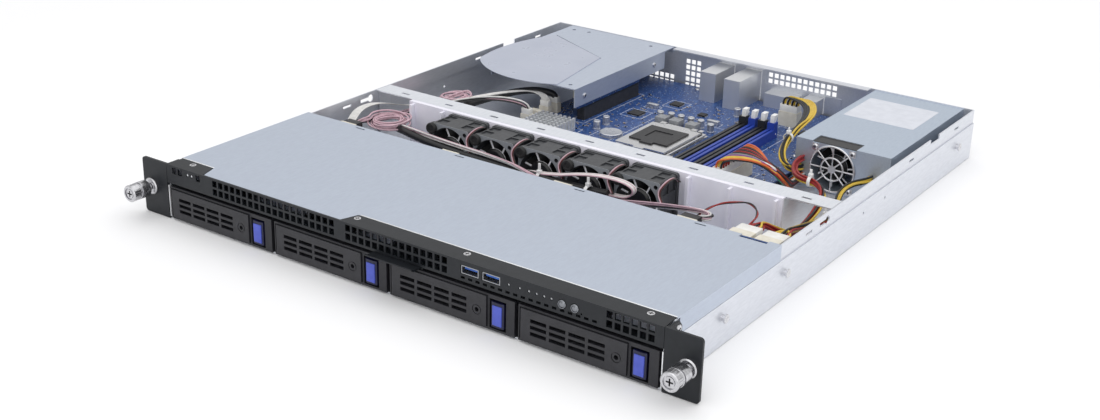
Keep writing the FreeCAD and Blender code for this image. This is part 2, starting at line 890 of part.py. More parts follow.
def drive_tray(i):
    """A hot-swap carrier: folded rails for the drive behind a moulded front block."""
    left = tray_left(i)
    right = left + S.tray_width
    body = new_body(f"drive_tray_{i}")
    inner_left = left + S.tray_sheet
    inner_right = right - S.tray_sheet
    floor = S.tray_low + S.tray_sheet
    profile = [
        (left, S.tray_low),
        (right, S.tray_low),
        (right, S.tray_low + S.tray_rail),
        (inner_right, S.tray_low + S.tray_rail),
        (inner_right, floor),
        (inner_left, floor),
        (inner_left, S.tray_low + S.tray_rail),
        (left, S.tray_low + S.tray_rail),
    ]
    rails = outline(body, f"tray_profile_{i}", "XZ_Plane", S.bezel_depth, profile)
    pad(body, f"tray_rails_{i}", rails, S.tray_length - S.bezel_depth)
    block = rectangle(left, S.bezel_low, right, S.bezel_top)
    front = outline(body, f"bezel_outline_{i}", "XZ_Plane", 0, block)
    pad(body, f"tray_bezel_{i}", front, S.bezel_depth)
    window_margin = 20
    window = outline(
        body, f"tray_window_outline_{i}", "XY_Plane", S.tray_low - S.gap,
        rectangle(left + window_margin, 32, right - window_margin, S.tray_length - 30),
    )
    pocket(body, f"tray_window_{i}", window, 2 * S.tray_sheet)
    pivot = left + S.lever_pivot
    lever_end = pivot + S.lever_length
    bed = outline(
        body, f"lever_bed_outline_{i}", "XZ_Plane", -S.gap,
        rectangle(pivot - S.lever_knuckle - S.gap, LEVER_LOW - S.gap, lever_end + S.gap, LEVER_HIGH + S.gap),
    )
    pocket(body, f"lever_bed_{i}", bed, LEVER_PIVOT_Y + S.lever_knuckle + 2 * S.gap)
    air_right = left + 11 + 4 * S.grille_pitch
    air_high = GRILLE_LOW + 3 * S.grille_row_pitch
    air = outline(
        body, f"air_outline_{i}", "XZ_Plane", 0,
        rectangle(left + 9, GRILLE_LOW - 1, air_right, air_high),
    )
    pocket(body, f"air_window_{i}", air, S.bezel_depth + S.gap)
    pins = circles(
        body, f"pivot_holes_outline_{i}", "XY_Plane", LEVER_LOW - S.gap - PIN_DEPTH,
        (pivot, LEVER_PIVOT_Y, PIN_RADIUS + S.running_fit),
    )
    pocket(body, f"pivot_holes_{i}", pins, LEVER_HIGH - LEVER_LOW + 2 * (S.gap + PIN_DEPTH))
    latch_left, latch_right, latch_low, latch_high = latch_place(i)
    margin = 1.6
    recess = outline(
        body, f"latch_recess_outline_{i}", "XZ_Plane", 0,
        rectangle(latch_left - margin, latch_low - margin, latch_right + margin, latch_high + margin),
    )
    pocket(body, f"latch_recess_{i}", recess, S.bezel_depth - 2)
    slot = outline(
        body, f"latch_slot_outline_{i}", "XZ_Plane", 0,
        rectangle(
            latch_left + STEM_INSET - S.gap, latch_low + STEM_INSET - S.gap,
            latch_right - STEM_INSET + S.gap, latch_high - STEM_INSET + S.gap,
        ),
    )
    pocket(body, f"latch_slot_{i}", slot, S.bezel_depth + S.gap)
    finish(body)


def latch_place(i):
    """Left, right, low and high of a tray's release button."""
    left = tray_left(i) + S.lever_pivot + S.lever_length + 3.6
    low = LATCH_MIDDLE - S.latch_height / 2
    return left, left + S.latch_width, low, low + S.latch_height


def tray_lever(i):
    """The swinging front of a tray, a slotted plate on an upright pin at its left end."""
    left = tray_left(i)
    pivot = left + S.lever_pivot
    body = new_body(f"tray_lever_{i}")
    height = LEVER_HIGH - LEVER_LOW
    blade = outline(
        body, f"lever_outline_{i}", "XY_Plane", LEVER_LOW,
        rectangle(pivot, -S.lever_proud, pivot + S.lever_length, S.lever_thickness - S.lever_proud),
    )
    pad(body, f"lever_blade_{i}", blade, height)
    knuckle = circles(
        body, f"lever_knuckle_outline_{i}", "XY_Plane", LEVER_LOW,
        (pivot, LEVER_PIVOT_Y, S.lever_knuckle),
    )
    pad(body, f"lever_knuckle_{i}", knuckle, height)
    pin_reach = S.gap + PIN_DEPTH * 0.8
    pin = circles(
        body, f"lever_pin_outline_{i}", "XY_Plane", LEVER_LOW - pin_reach,
        (pivot, LEVER_PIVOT_Y, PIN_RADIUS),
    )
    pad(body, f"lever_pin_{i}", pin, height + 2 * pin_reach)
    first = outline(
        body, f"lever_slot_outline_{i}", "XZ_Plane", -S.lever_proud - S.gap,
        rectangle(left + 10, GRILLE_LOW, left + 10 + S.grille_width, GRILLE_LOW + S.grille_height),
    )
    slot = pocket(body, f"lever_slot_{i}", first, S.lever_thickness + 2 * S.gap)
    repeat(body, f"lever_grille_{i}", slot, "X_Axis", S.grille_pitch, 4, "Z_Axis", S.grille_row_pitch, 3)
    light_x = left + 74.5
    light_z = GRILLE_LOW + 1.2 * S.grille_row_pitch
    rim = circles(
        body, f"lever_rim_outline_{i}", "XZ_Plane", -S.lever_proud - S.gap,
        (light_x, light_z, 3.6),
        (light_x, light_z, 3.0),
    )
    pocket(body, f"lever_rim_{i}", rim, S.gap + 0.5)
    eye = circles(body, f"lever_eye_outline_{i}", "XZ_Plane", -S.lever_proud - S.gap, (light_x, light_z, 1.6))
    pocket(body, f"lever_eye_{i}", eye, S.lever_thickness + 2 * S.gap)
    finish(body)


def tray_latch(i):
    """The blue release button of a tray, on a stem that slides in the front block."""
    left, right, low, high = latch_place(i)
    body = new_body(f"tray_latch_{i}")
    crown = 0.7
    profile = [
        (left, crown - LATCH_PROUD),
        (left + 2.5, -LATCH_PROUD),
        (right - 2.5, -LATCH_PROUD),
        (right, crown - LATCH_PROUD),
        (right, S.bezel_depth - 2 - S.latch_travel - S.gap),
        (left, S.bezel_depth - 2 - S.latch_travel - S.gap),
    ]
    button = outline(body, f"latch_outline_{i}", "XY_Plane", low, profile)
    pad(body, f"latch_button_{i}", button, S.latch_height)
    stem = outline(
        body, f"latch_stem_outline_{i}", "XZ_Plane", S.bezel_depth - 2 - S.latch_travel - S.gap,
        rectangle(left + STEM_INSET, low + STEM_INSET, right - STEM_INSET, high - STEM_INSET),
    )
    pad(body, f"latch_stem_{i}", stem, S.latch_travel + 2)
    finish(body)


def pull_tag():
    """A flat tag that slides out below the panel, with a finger lip."""
    body = new_body("pull_tag")
    top = S.panel_low - S.gap
    low = top - S.tag_thickness
    profile = [
        (S.tag_length, low),
        (S.tag_length, top),
        (-S.tag_reach + 3, top),
        (-S.tag_reach + 1.2, top + 1.2),
        (-S.tag_reach, top + 1.2),
        (-S.tag_reach, top + 0.4),
        (-S.tag_reach + 2.2, low),
    ]
    side = outline(body, "tag_profile", "YZ_Plane", S.tag_left, profile)
    pad(body, "tag_plate", side, S.tag_right - S.tag_left)
    finish(body)


def panel_buttons():
    """Round push buttons, each a cap and a collar that stops behind the panel."""
    for name, x in BUTTONS.items():
        body = new_body(name)
        proud = 1.0
        behind = S.panel_sheet + S.gap
        half = [
            (0, -proud),
            (S.button_radius - 0.6, -proud),
            (S.button_radius, -proud + 0.6),
            (S.button_radius, behind),
            (S.button_radius + 1, behind),
            (S.button_radius + 1, behind + 1),
            (1.5, behind + 1),
            (1.5, BUTTON_STEM_END),
            (0, BUTTON_STEM_END),
        ]
        profile = outline(body, name + "_profile", "XY_Plane", S.button_height, half, across=x)
        revolve(body, name + "_turn", profile)
        finish(body)


def front_io_module():
    """The small circuit board behind the panel with its ports and switches."""
    low = S.panel_low + S.panel_sheet
    top = low + S.board_thickness
    pieces = [box("io_board", (58, S.panel_sheet + 3, low), (168, 40, top))]
    for i, x in enumerate(USB_PORTS, start=1):
        half_wide = USB_WIDTH / 2 - S.gap
        half_tall = USB_HEIGHT / 2 - S.gap
        wall = 0.6
        shell = box(
            f"usb_shell_{i}",
            (x - half_wide, 0.4, USB_Z - half_tall),
            (x + half_wide, 16, USB_Z + half_tall),
        )
        hollow = box(
            f"usb_hollow_{i}",
            (x - half_wide + wall, 0, USB_Z - half_tall + wall),
            (x + half_wide - wall, 13, USB_Z + half_tall - wall),
        )
        tongue = box(f"usb_tongue_{i}", (x - 5, 2, USB_Z + 0.2), (x + 5, 13, USB_Z + 1.9))
        foot = box(f"usb_foot_{i}", (x - 5, 5, top), (x + 5, 15, USB_Z - half_tall))
        pieces += [fuse(f"usb_port_{i}", [cut(f"usb_can_{i}", shell, [hollow]), tongue, foot])]
    for i, x in enumerate(BUTTONS.values(), start=1):
        low_corner = (x - 3, SWITCH_FRONT, top)
        high_corner = (x + 3, SWITCH_FRONT + 4, S.button_height + 3)
        pieces.append(box(f"switch_{i}", low_corner, high_corner))
    finish(group("front_io_module", pieces))


def backplane():
    """The upright circuit board behind the drives, with an air window in each bay."""
    rear = S.backplane_front + S.board_thickness
    end = INNER_HALF - 6
    plate = box("backplane_plate", (-end, S.backplane_front, S.sheet), (end, rear, S.backplane_top))
    windows = [
        box(
            f"backplane_window_{i}",
            (tray_left(i) + 12, S.backplane_front - 1, 16),
            (tray_left(i) + S.tray_width - 12, rear + 1, 26),
        )
        for i in range(1, SIZES["bay_count"] + 1)
    ]
    finish(cut("backplane", plate, windows))
    sockets = []
    drive_front = S.tray_length + 1
    for i in range(1, SIZES["bay_count"] + 1):
        middle = tray_left(i) + S.tray_width / 2
        data = tray_left(i) + DATA_SOCKET_MIDDLE
        sockets.append(
            box(f"drive_socket_{i}", (middle - 21, drive_front, 6), (middle + 21, S.backplane_front, 12.5))
        )
        sockets.append(
            box(f"data_socket_{i}", (data - 8, rear, 28), (data + 8, rear + DATA_SOCKET_DEPTH, 34))
        )
    for i, x in enumerate((166, 187), start=1):
        sockets.append(
            box(f"power_socket_{i}", (x, rear, 26.5), (x + 18, rear + DRIVE_SOCKET_DEPTH, 35.5))
        )
    return sockets


def fan_x(i):
    return S.fan_left + S.fan_size / 2 + S.fan_pitch * (i - 1)


def fan_pockets(body, i, half):
    """Shallow pockets in the housing's four outer walls, either side of each wall's middle."""
    middle = S.fan_depth / 2
    spans = [
        (S.fan_flange + S.fan_rib, middle - S.fan_rib / 2),
        (middle + S.fan_rib / 2, S.fan_depth - S.fan_flange - S.fan_rib),
    ]
    end = half - S.fan_flange
    columns = [(-end, -S.fan_pocket_start), (S.fan_pocket_start, end)]
    level_walls = [rectangle(left, front, right, rear) for left, right in columns for front, rear in spans]
    upright_walls = [rectangle(front, low, rear, high) for low, high in columns for front, rear in spans]
    for side, plane, level, walls in (
        ("top", "XY_Plane", half - S.fan_pocket, level_walls),
        ("bottom", "XY_Plane", -half - S.gap, level_walls),
        ("right", "YZ_Plane", half - S.fan_pocket, upright_walls),
        ("left", "YZ_Plane", -half - S.gap, upright_walls),
    ):
        sketch = outline(body, f"{side}_pockets_outline_{i}", plane, level, *walls)
        pocket(body, f"{side}_pockets_{i}", sketch, S.fan_pocket + S.gap)


def fan_frame(i):
    """A square fan housing: two corner-drilled flanges, a pocketed wall, and struts to the motor seat."""
    body = new_body(f"fan_frame_{i}")
    half = S.fan_size / 2
    square = rectangle(-half, -half, half, half)
    front = outline(body, f"front_flange_outline_{i}", "XZ_Plane", 0, square)
    pad(body, f"front_flange_{i}", front, S.fan_flange)
    rear = outline(body, f"rear_flange_outline_{i}", "XZ_Plane", S.fan_depth - S.fan_flange, square)
    pad(body, f"rear_flange_{i}", rear, S.fan_flange)
    inner = half - S.fan_relief
    wall = outline(body, f"wall_outline_{i}", "XZ_Plane", 0, rectangle(-inner, -inner, inner, inner))
    solid = pad(body, f"wall_{i}", wall, S.fan_depth)
    corner = inner.value
    round_edges(
        body, f"housing_corners_{i}", solid, 2.5,
        lambda edge: len(edge.Vertexes) == 2
        and all(abs(abs(v.X) - abs(v.Z)) < 0.01 and abs(v.X) > corner - 0.01 for v in edge.Vertexes)
        and abs(edge.Vertexes[0].Y - edge.Vertexes[1].Y) > 0.5,
    )
    fan_pockets(body, i, half)
    bore = circles(body, f"bore_outline_{i}", "XZ_Plane", -S.gap, (0, 0, S.fan_bore))
    pocket(body, f"bore_{i}", bore, S.fan_depth + 2 * S.gap)
    for across, (wide, tall) in (("level", (S.fan_bore + 0.5, 0.9)), ("upright", (0.9, S.fan_bore + 0.5))):
        bar = rectangle(-wide, -tall, wide, tall)
        strut = outline(body, f"{across}_strut_outline_{i}", "XZ_Plane", STATOR_FRONT, bar)
        pad(body, f"{across}_strut_{i}", strut, S.fan_depth - STATOR_FRONT)
    seat = circles(body, f"motor_seat_outline_{i}", "XZ_Plane", STATOR_FRONT, (0, 0, STATOR_RADIUS))
    pad(body, f"motor_seat_{i}", seat, S.fan_depth - STATOR_FRONT)
    shaft = circles(
        body, f"bearing_outline_{i}", "XZ_Plane", STATOR_FRONT - S.gap,
        (0, 0, S.fan_shaft + S.running_fit),
    )
    pocket(body, f"bearing_{i}", shaft, SHAFT_DEPTH + S.gap)
    hole = half - 4
    corner_holes = [(hole * x, hole * z, 1.75) for x in (-1, 1) for z in (-1, 1)]
    drilled = circles(body, f"corner_holes_outline_{i}", "XZ_Plane", -S.gap, *corner_holes)
    pocket(body, f"corner_holes_{i}", drilled, S.fan_depth + 2 * S.gap)
    place(body, (fan_x(i), S.fan_front, FAN_Z))
    return body


def fan_rotor(name, x, y, z):
    """A hub and shaft with cambered blades that widen and lean towards their tips."""
    body = new_body(name)
    half = [
        (0, 1.5),
        (S.fan_hub - 1.5, 1.5),
        (S.fan_hub, 3),
        (S.fan_hub, STATOR_FRONT - 1.5),
        (S.fan_shaft, STATOR_FRONT - 1.5),
        (S.fan_shaft, STATOR_FRONT + SHAFT_DEPTH - S.gap),
        (0, STATOR_FRONT + SHAFT_DEPTH - S.gap),
    ]
    hub = outline(body, name + "_hub_profile", "XY_Plane", 0, half)
    revolve(body, name + "_hub", hub)
    thick = 1.2
    camber = 1.6
    front, rear = 4, STATOR_FRONT - 3.5
    middle = (front + rear) / 2
    sections = []
    for part, level, reach in (("root", S.fan_hub - 1.2, 2.9), ("tip", S.fan_bore - 2.4, 6.3)):
        sections.append(
            outline(
                body, f"{name}_{part}", "XY_Plane", level,
                [
                    (-reach, front),
                    (-reach + thick, front),
                    (camber + thick, middle),
                    (reach + thick, rear),
                    (reach, rear),
                    (camber, middle),
                ],
            )
        )
    blade = body.newObject("PartDesign::AdditiveLoft", name + "_blade")
    blade.Profile = sections[0]
    blade.Sections = sections[1:]
    blade.Ruled = True
    blades = body.newObject("PartDesign::PolarPattern", name + "_blades")
    blades.Originals = [blade]
    blades.Axis = (origin_part(body, "Y_Axis"), [""])
    blades.Angle = 360
    bind(blades, "Occurrences", S.fan_blades)
    body.Tip = blades
    place(body, (x, y, z))
    finish(body)


def fans():
    frames = []
    for i in range(1, SIZES["fan_count"] + 1):
        frames.append(fan_frame(i))
        fan_rotor(f"fan_rotor_{i}", fan_x(i), S.fan_front, FAN_Z)
    finish(group("fan_frames", frames))


def fan_shroud():
    """The white moulded wall that the fans blow through, with ribs and a lip under the cross bar."""
    body = new_body("fan_shroud")
    front = FAN_REAR + S.gap
    wall = outline(
        body, "shroud_outline", "XZ_Plane", front,
        rectangle(S.shroud_left, S.sheet, S.shroud_right, WALL_TOP),
    )
    pad(body, "shroud_wall", wall, S.shroud_thickness)
    lip = outline(
        body, "shroud_lip_outline", "XY_Plane", WALL_TOP - 1,
        rectangle(S.shroud_left, front, S.shroud_right, S.bar_front - S.gap),
    )
    pad(body, "shroud_lip", lip, 1)
    ribs = outline(
        body, "shroud_ribs_outline", "XZ_Plane", front - 5,
        *[rectangle(x, S.sheet, x + 2.2, WALL_TOP - 1.5) for x in (-168, -136, 99, 134, 172)],
    )
    pad(body, "shroud_ribs", ribs, 5)
    first = circles(body, "shroud_bore_outline", "XZ_Plane", front - S.gap, (fan_x(1), FAN_Z, S.fan_bore))
    hole = pocket(body, "shroud_bore", first, S.shroud_thickness + 2 * S.gap)
    repeat(body, "shroud_bores", hole, "X_Axis", S.fan_pitch, S.fan_count)
    finish(body)


def cross_bar():
    """The folded steel bar across the chassis, over the shroud, with legs at the side walls."""
    body = new_body("cross_bar")
    end = UPPER_INNER - S.gap
    top = outline(
        body, "bar_outline", "XY_Plane", WALL_TOP - S.sheet,
        rectangle(-end, S.bar_front, end, S.bar_rear),
    )
    pad(body, "bar_top", top, S.sheet)
    rear = outline(
        body, "bar_flange_outline", "XZ_Plane", S.bar_rear - S.sheet,
        rectangle(-end, WALL_TOP - 8, end, WALL_TOP - S.sheet),
    )
    pad(body, "bar_flange", rear, S.sheet)
    legs = outline(
        body, "bar_leg_outline", "XY_Plane", S.sheet,
        rectangle(-end, S.bar_front + 3, -end + S.sheet, S.bar_rear - S.sheet),
        rectangle(end - S.sheet, S.bar_front + 3, end, S.bar_rear - S.sheet),
    )
    pad(body, "bar_legs", legs, WALL_TOP - 2 * S.sheet)
    first = outline(
        body, "bar_slot_outline", "XY_Plane", WALL_TOP - S.sheet - S.gap,
        rectangle(-190, S.bar_front + 6, -182, S.bar_front + 8.5),
    )
    slot = pocket(body, "bar_slot", first, 2 * S.sheet)
    repeat(body, "bar_slots", slot, "X_Axis", 47, 9)
    finish(body)


def motherboard():
    """The main circuit board with its mounting holes."""
    body = new_body("motherboard")
    rim = rectangle(S.board_left, S.board_front, S.board_left + S.board_width, S.board_front + S.board_length)
    board = outline(body, "board_outline", "XY_Plane", S.board_low, rim)
    pad(body, "board_plate", board, S.board_thickness)
    holes = circles(
        body, "board_holes_outline", "XY_Plane", S.board_low - S.gap,
        *[(S.board_left + x, S.board_front + y, 2.0) for x, y in STANDOFFS],
    )
    pocket(body, "board_holes", holes, S.board_thickness + 2 * S.gap)
    finish(body)


def cpu_socket():
    """The processor socket and the steel frame round it with its hinge lugs."""
    half = S.socket_side / 2
    front, rear = S.socket_y - half, S.socket_y + half
    top = BOARD_TOP + S.socket_height
    block = box("socket_block", (-half, front, BOARD_TOP), (half, rear, top))
    well = box("socket_well", (-9, S.socket_y - 8, BOARD_TOP + 2), (9, S.socket_y + 8, top + 1))
    seat = box("socket_seat", (-half + 3, front + 3, BOARD_TOP + 3), (half - 3, rear - 3, top + 1))
    socket = cut("socket_housing", block, [fuse("socket_hollow", [well, seat])])
    body = new_body("load_frame")
    rim = S.load_width / 2 + 3
    plate = outline(
        body, "load_frame_outline", "XY_Plane", BOARD_TOP,
        rectangle(-rim, S.load_front - 4, rim, S.load_hinge + LUG - 0.6),
        rectangle(-half - S.gap, S.socket_y - half - S.gap, half + S.gap, S.socket_y + half + S.gap),
    )
    pad(body, "load_frame_plate", plate, FRAME_TOP - BOARD_TOP)
    lugs = outline(
        body, "lug_outline", "XY_Plane", FRAME_TOP,
        *[
            rectangle(x, S.load_hinge - LUG / 2, x + LUG, S.load_hinge + LUG / 2)
            for x in (-18, 18 - LUG)
        ],
        rectangle(19.6, LEVER_Y - LUG / 2, 23.8, LEVER_Y + LUG / 2),
    )
    pad(body, "lugs", lugs, PLATE_LOW + S.load_sheet - FRAME_TOP)
    hinge = circles(
        body, "hinge_hole_outline", "YZ_Plane", -19, (S.load_hinge, ROD_Z, S.load_rod + S.running_fit)
    )
    pocket(body, "hinge_holes", hinge, 38)
    pivot = circles(
        body, "lever_hole_outline", "YZ_Plane", 19.3, (LEVER_Y, LEVER_Z, S.lever_wire + S.running_fit)
    )
    pocket(body, "lever_hole", pivot, 6)
    finish(group("cpu_socket", [socket, body]))


def cpu_load_plate():
    """The hinged steel frame that presses a processor into its socket."""
    half = S.load_width / 2
    top = PLATE_LOW + S.load_sheet
    rear = S.load_hinge - LUG / 2 - 1
    sheet_plate = box("load_sheet_plate", (-half, S.load_front, PLATE_LOW), (half, rear, top))
    tongue = box("load_tongue", (-11, rear - 1, PLATE_LOW), (11, S.load_hinge, top))
    hinge = rod("load_rod_bar", (-18.4, S.load_hinge, ROD_Z), "X", S.load_rod, 36.8)
    nose = box("load_nose", (-5, S.load_front - 3, PLATE_LOW), (5, S.load_front + 1, top))
    window = CAP_WINDOW / 2
    hole = box(
        "load_window",
        (-window, S.socket_y - window, PLATE_LOW - 1),
        (window, S.socket_y + window, top + 1),
    )
    finish(cut("cpu_load_plate", fuse("load_blank", [sheet_plate, tongue, hinge, nose]), [hole]))


def socket_cap():
    """The black moulded cover that fills the load plate's window until a processor is fitted."""
    top = PLATE_LOW + S.load_sheet
    window = CAP_WINDOW / 2 - S.gap / 2
    brim = CAP_WINDOW / 2 + 2.5
    plug = box(
        "cap_plug",
        (-window, S.socket_y - window, PLATE_LOW + 0.2),
        (window, S.socket_y + window, top),
    )
    crown = box("cap_crown", (-brim, S.socket_y - brim, top), (brim, S.socket_y + brim, top + 1.2))
    dish = box("cap_dish", (-9, S.socket_y - 9, top + 0.5), (9, S.socket_y + 9, top + 2))
    finger = box("cap_finger", (-6, S.socket_y - brim - 4, top), (6, S.socket_y - brim + 1, top + 1.2))
    finish(cut("socket_cap", fuse("cap_blank", [plug, crown, finger]), [dish]))


def cpu_load_lever():
    """The bent wire lever at the socket's side, with its hooked handle."""
    front = S.load_front - 2
    cross = rod("lever_cross", (19.0, LEVER_Y, LEVER_Z), "X", S.lever_wire, LEVER_X - 19.0)
    arm = rod("lever_arm", (LEVER_X, front, LEVER_Z), "Y", S.lever_wire, LEVER_Y - front)
    elbow = doc.addObject("Part::Sphere", "lever_elbow")
    bind(elbow, "Radius", S.lever_wire)
    place(elbow, (LEVER_X, LEVER_Y, LEVER_Z))
    handle = box(
        "lever_handle",
        (LEVER_X - 0.4, front, LEVER_Z - 0.6),
        (LEVER_X + 6, front + 5, LEVER_Z + 0.6),
    )
    finish(fuse("cpu_load_lever", [cross, arm, elbow, handle]))


def dimm_x(i):
    return S.dimm_first + S.dimm_pitch * (i - 1)


def dimm_slots():
    """Memory slots: long grooved housings with a tower at each end, forked at the rear for a latch."""
    slots = []
    for i in range(1, SIZES["dimm_count"] + 1):
        x = dimm_x(i)
        half = S.dimm_width / 2
        left, right = x - half, x + half
        front, body_top, top = S.dimm_front, BOARD_TOP + S.dimm_height, BOARD_TOP + S.dimm_tower
        tower, cheek = 7, 1.1
        blank = fuse(
            f"dimm_blank_{i}",
            [
                box(f"dimm_housing_{i}", (left, front, BOARD_TOP), (right, DIMM_REAR, body_top)),
                box(f"dimm_front_{i}", (left, front, BOARD_TOP), (right, front + tower, top)),
                box(f"dimm_rear_{i}", (left, DIMM_REAR - tower, BOARD_TOP), (right, DIMM_REAR, top)),
            ],
        )
        groove = box(
            f"dimm_groove_{i}",
            (x - 0.8, front + 3, BOARD_TOP + 2.5),
            (x + 0.8, DIMM_REAR - tower, top + 1),
        )
        fork = box(
            f"dimm_fork_{i}",
            (left + cheek, DIMM_REAR - tower + 1, BOARD_TOP + 1),
            (right - cheek, DIMM_REAR + 1, top + 1),
        )
        bore = LATCH_PIN + S.running_fit
        pin = rod(f"dimm_pin_hole_{i}", (left - 1, LATCH_Y, LATCH_Z), "X", bore, S.dimm_width + 2)
        slots.append(cut(f"dimm_slot_{i}", blank, [groove, fork, pin]))
    finish(group("dimm_slots", slots))


def dimm_latch(i):
    """A white ejector latch that rocks on a pin in the fork of its slot."""
    x = dimm_x(i)
    half = S.dimm_width / 2 - 1.1 - S.gap
    body = new_body(f"dimm_latch_{i}")
    high = BOARD_TOP + S.latch_top
    profile = [
        (LATCH_Y - 2, LATCH_Z - 2),
        (LATCH_Y + 1.6, LATCH_Z - 2),
        (LATCH_Y + 2, high - 6),
        (LATCH_Y + 5, high),
        (LATCH_Y - 1.5, high),
        (LATCH_Y - 2, high - 3),
    ]
    side = outline(body, f"dimm_latch_profile_{i}", "YZ_Plane", x - half, profile)
    pad(body, f"dimm_latch_arm_{i}", side, 2 * half)
    pin = circles(
        body, f"dimm_latch_pin_outline_{i}", "YZ_Plane", x - S.dimm_width / 2 + 0.2,
        (LATCH_Y, LATCH_Z, LATCH_PIN),
    )
    pad(body, f"dimm_latch_pin_{i}", pin, S.dimm_width - 0.4)
    finish(body)


def chipset_heatsink():
    """An aluminium base over the chipset with square pins standing on it."""
    body = new_body("chipset_heatsink")
    left, front, side, pin = -108, 296, 35, 2.2
    thick, tall, count = 3, 8, 8
    base = outline(
        body, "heatsink_outline", "XY_Plane", BOARD_TOP,
        rectangle(left, front, left + side, front + side),
    )
    pad(body, "heatsink_base", base, thick)
    first = outline(
        body, "heatsink_pin_outline", "XY_Plane", BOARD_TOP + thick,
        rectangle(left, front, left + pin, front + pin),
    )
    stub = pad(body, "heatsink_pin", first, tall)
    pitch = (side - pin) / (count - 1)
    repeat(body, "heatsink_pins", stub, "X_Axis", pitch, count, "Y_Axis", pitch, count)
    finish(body)


def board_components():
    """Chokes, capacitors, chips and the coin cell on the main board."""
    pieces = []
    for i, x in enumerate((-23, -9, 7.5), start=1):
        pieces.append(box(f"choke_{i}", (x - 5, 388.8, BOARD_TOP), (x + 5, 398.8, BOARD_TOP + 7)))
    cans = [(-20, 404), (-10, 404), (0, 404), (10, 404), (22, 400), (-30, 402), (-60, 345), (-60, 360)]
    cans += [(30, 450), (20, 452)]
    for i, (x, y) in enumerate(cans, start=1):
        pieces.append(rod(f"capacitor_{i}", (x, y, BOARD_TOP), "Z", 3.2, 8))
    chips = [(-62, 395, 14), (-45, 440, 12), (-60, 300, 14), (84, 440, 14), (-10, 430, 9)]
    for i, (x, y, side) in enumerate(chips, start=1):
        pieces.append(box(f"chip_{i}", (x, y, BOARD_TOP), (x + side, y + side, BOARD_TOP + 1.4)))
    pieces.append(rod("coin_cell", (-42, 340, BOARD_TOP), "Z", 10, 3.4))
    finish(group("board_components", pieces))


def board_sockets(backplane_sockets):
    """Cable connectors of the main board, the riser card and the backplane."""
    pieces = list(backplane_sockets)
    power = (("main_socket", MAIN_SOCKET), ("processor_socket", PROCESSOR_SOCKET))
    for name, (left, front, right, rear) in power:
        pieces.append(box(name, (left, front, BOARD_TOP), (right, rear, POWER_SOCKET_TOP)))
    for i, y in enumerate(HEADERS, start=1):
        pieces.append(box(f"header_{i}", (-121, y, BOARD_TOP), (-111, y + HEADER_LENGTH, HEADER_TOP)))
    pieces.append(box("disk_socket", (-70, 268, BOARD_TOP), (-56, 282, BOARD_TOP + 9)))
    face = S.slot_x - S.board_thickness / 2
    pieces.append(
        box(
            "riser_socket",
            (face - 11, S.slot_front + 5, S.riser_top - 16.2),
            (face, S.slot_front + S.slot_length - 5, S.riser_top - 8.2),
        )
    )
    finish(group("board_sockets", pieces))


def rear_port_blocks():
    """Shielded port housings on the board's rear edge, open to the back."""
    usb_pair = [(1.5, 2.4, 13, 5.2), (1.5, 9.9, 13, 5.2)]
    mouths = {
        "left_port_stack": usb_pair + [(2, 17.4, 12, 8)],
        "right_port_stack": usb_pair + [(2, 17.4, 12, 8)],
        "video_port": [],
        "usb_port_stack": [(1, 1.6, 13, 5.2), (1, 8.4, 13, 5.2)],
    }
    pieces = []
    for name, (left, right, front, top) in PORTS.items():
        body = new_body(name)
        block = outline(body, name + "_outline", "XZ_Plane", front, rectangle(left, BOARD_TOP, right, top))
        pad(body, name + "_shell", block, PORT_REAR - front)
        if mouths[name]:
            holes = [
                rectangle(left + x, BOARD_TOP + z, left + x + wide, BOARD_TOP + z + tall)
                for x, z, wide, tall in mouths[name]
            ]
            mouth = outline(body, name + "_mouth_outline", "XZ_Plane", PORT_REAR - PORT_CAVITY, *holes)
            pocket(body, name + "_mouths", mouth, PORT_CAVITY + S.gap)
        else:
            video_shell(body, (left + right) / 2, (BOARD_TOP + top) / 2)
        pieces.append(body)
    finish(group("rear_port_blocks", pieces))


def video_shell(body, x, z):
    """The D-shaped shell of the video port, wider at its top, round a thin hollow."""
    wall = 0.6
    low_half, high_half, half_tall, reach = 7.2, 8.4, 4.2, 5
    for name, inset, level in (("video_shell", 0, PORT_REAR), ("video_hollow", wall, PORT_REAR + wall)):
        sides = outline(
            body, name + "_outline", "XZ_Plane", level,
            [
                (x - low_half + inset, z - half_tall + inset),
                (x + low_half - inset, z - half_tall + inset),
                (x + high_half - inset, z + half_tall - inset),
                (x - high_half + inset, z + half_tall - inset),
            ],
        )
        make = pocket if inset else pad
        make(body, name, sides, reach)


def io_shield():
    """The thin sprung plate behind the rear wall, cut out round the ports."""
    body = new_body("io_shield")
    thickness = 0.6
    level = REAR_INNER - thickness
    plate = outline(body, "shield_outline", "XZ_Plane", level, io_window(1.5))
    pad(body, "shield_plate", plate, thickness)
    holes = [
        rectangle(left - S.gap, BOARD_TOP - S.gap, right + S.gap, top + S.gap)
        for left, right, _, top in PORTS.values()
    ]
    cut_out = outline(body, "shield_holes_outline", "XZ_Plane", level - S.gap, *holes)
    pocket(body, "shield_holes", cut_out, 3 * thickness)
    finish(body)


def pcie_slot():
    """The expansion slot that the riser card stands in."""
    half = S.slot_width / 2
    rear = S.slot_front + S.slot_length
    groove = S.board_thickness / 2 + S.slot_clearance
    top = BOARD_TOP + S.slot_height
    housing = box("slot_housing", (S.slot_x - half, S.slot_front, BOARD_TOP), (S.slot_x + half, rear, top))
    gap = box(
        "slot_groove",
        (S.slot_x - groove, S.slot_front + 1.5, CARD_LOW - S.gap),
        (S.slot_x + groove, rear - 1.5, top + 1),
    )
    finish(cut("pcie_slot", housing, [gap]))


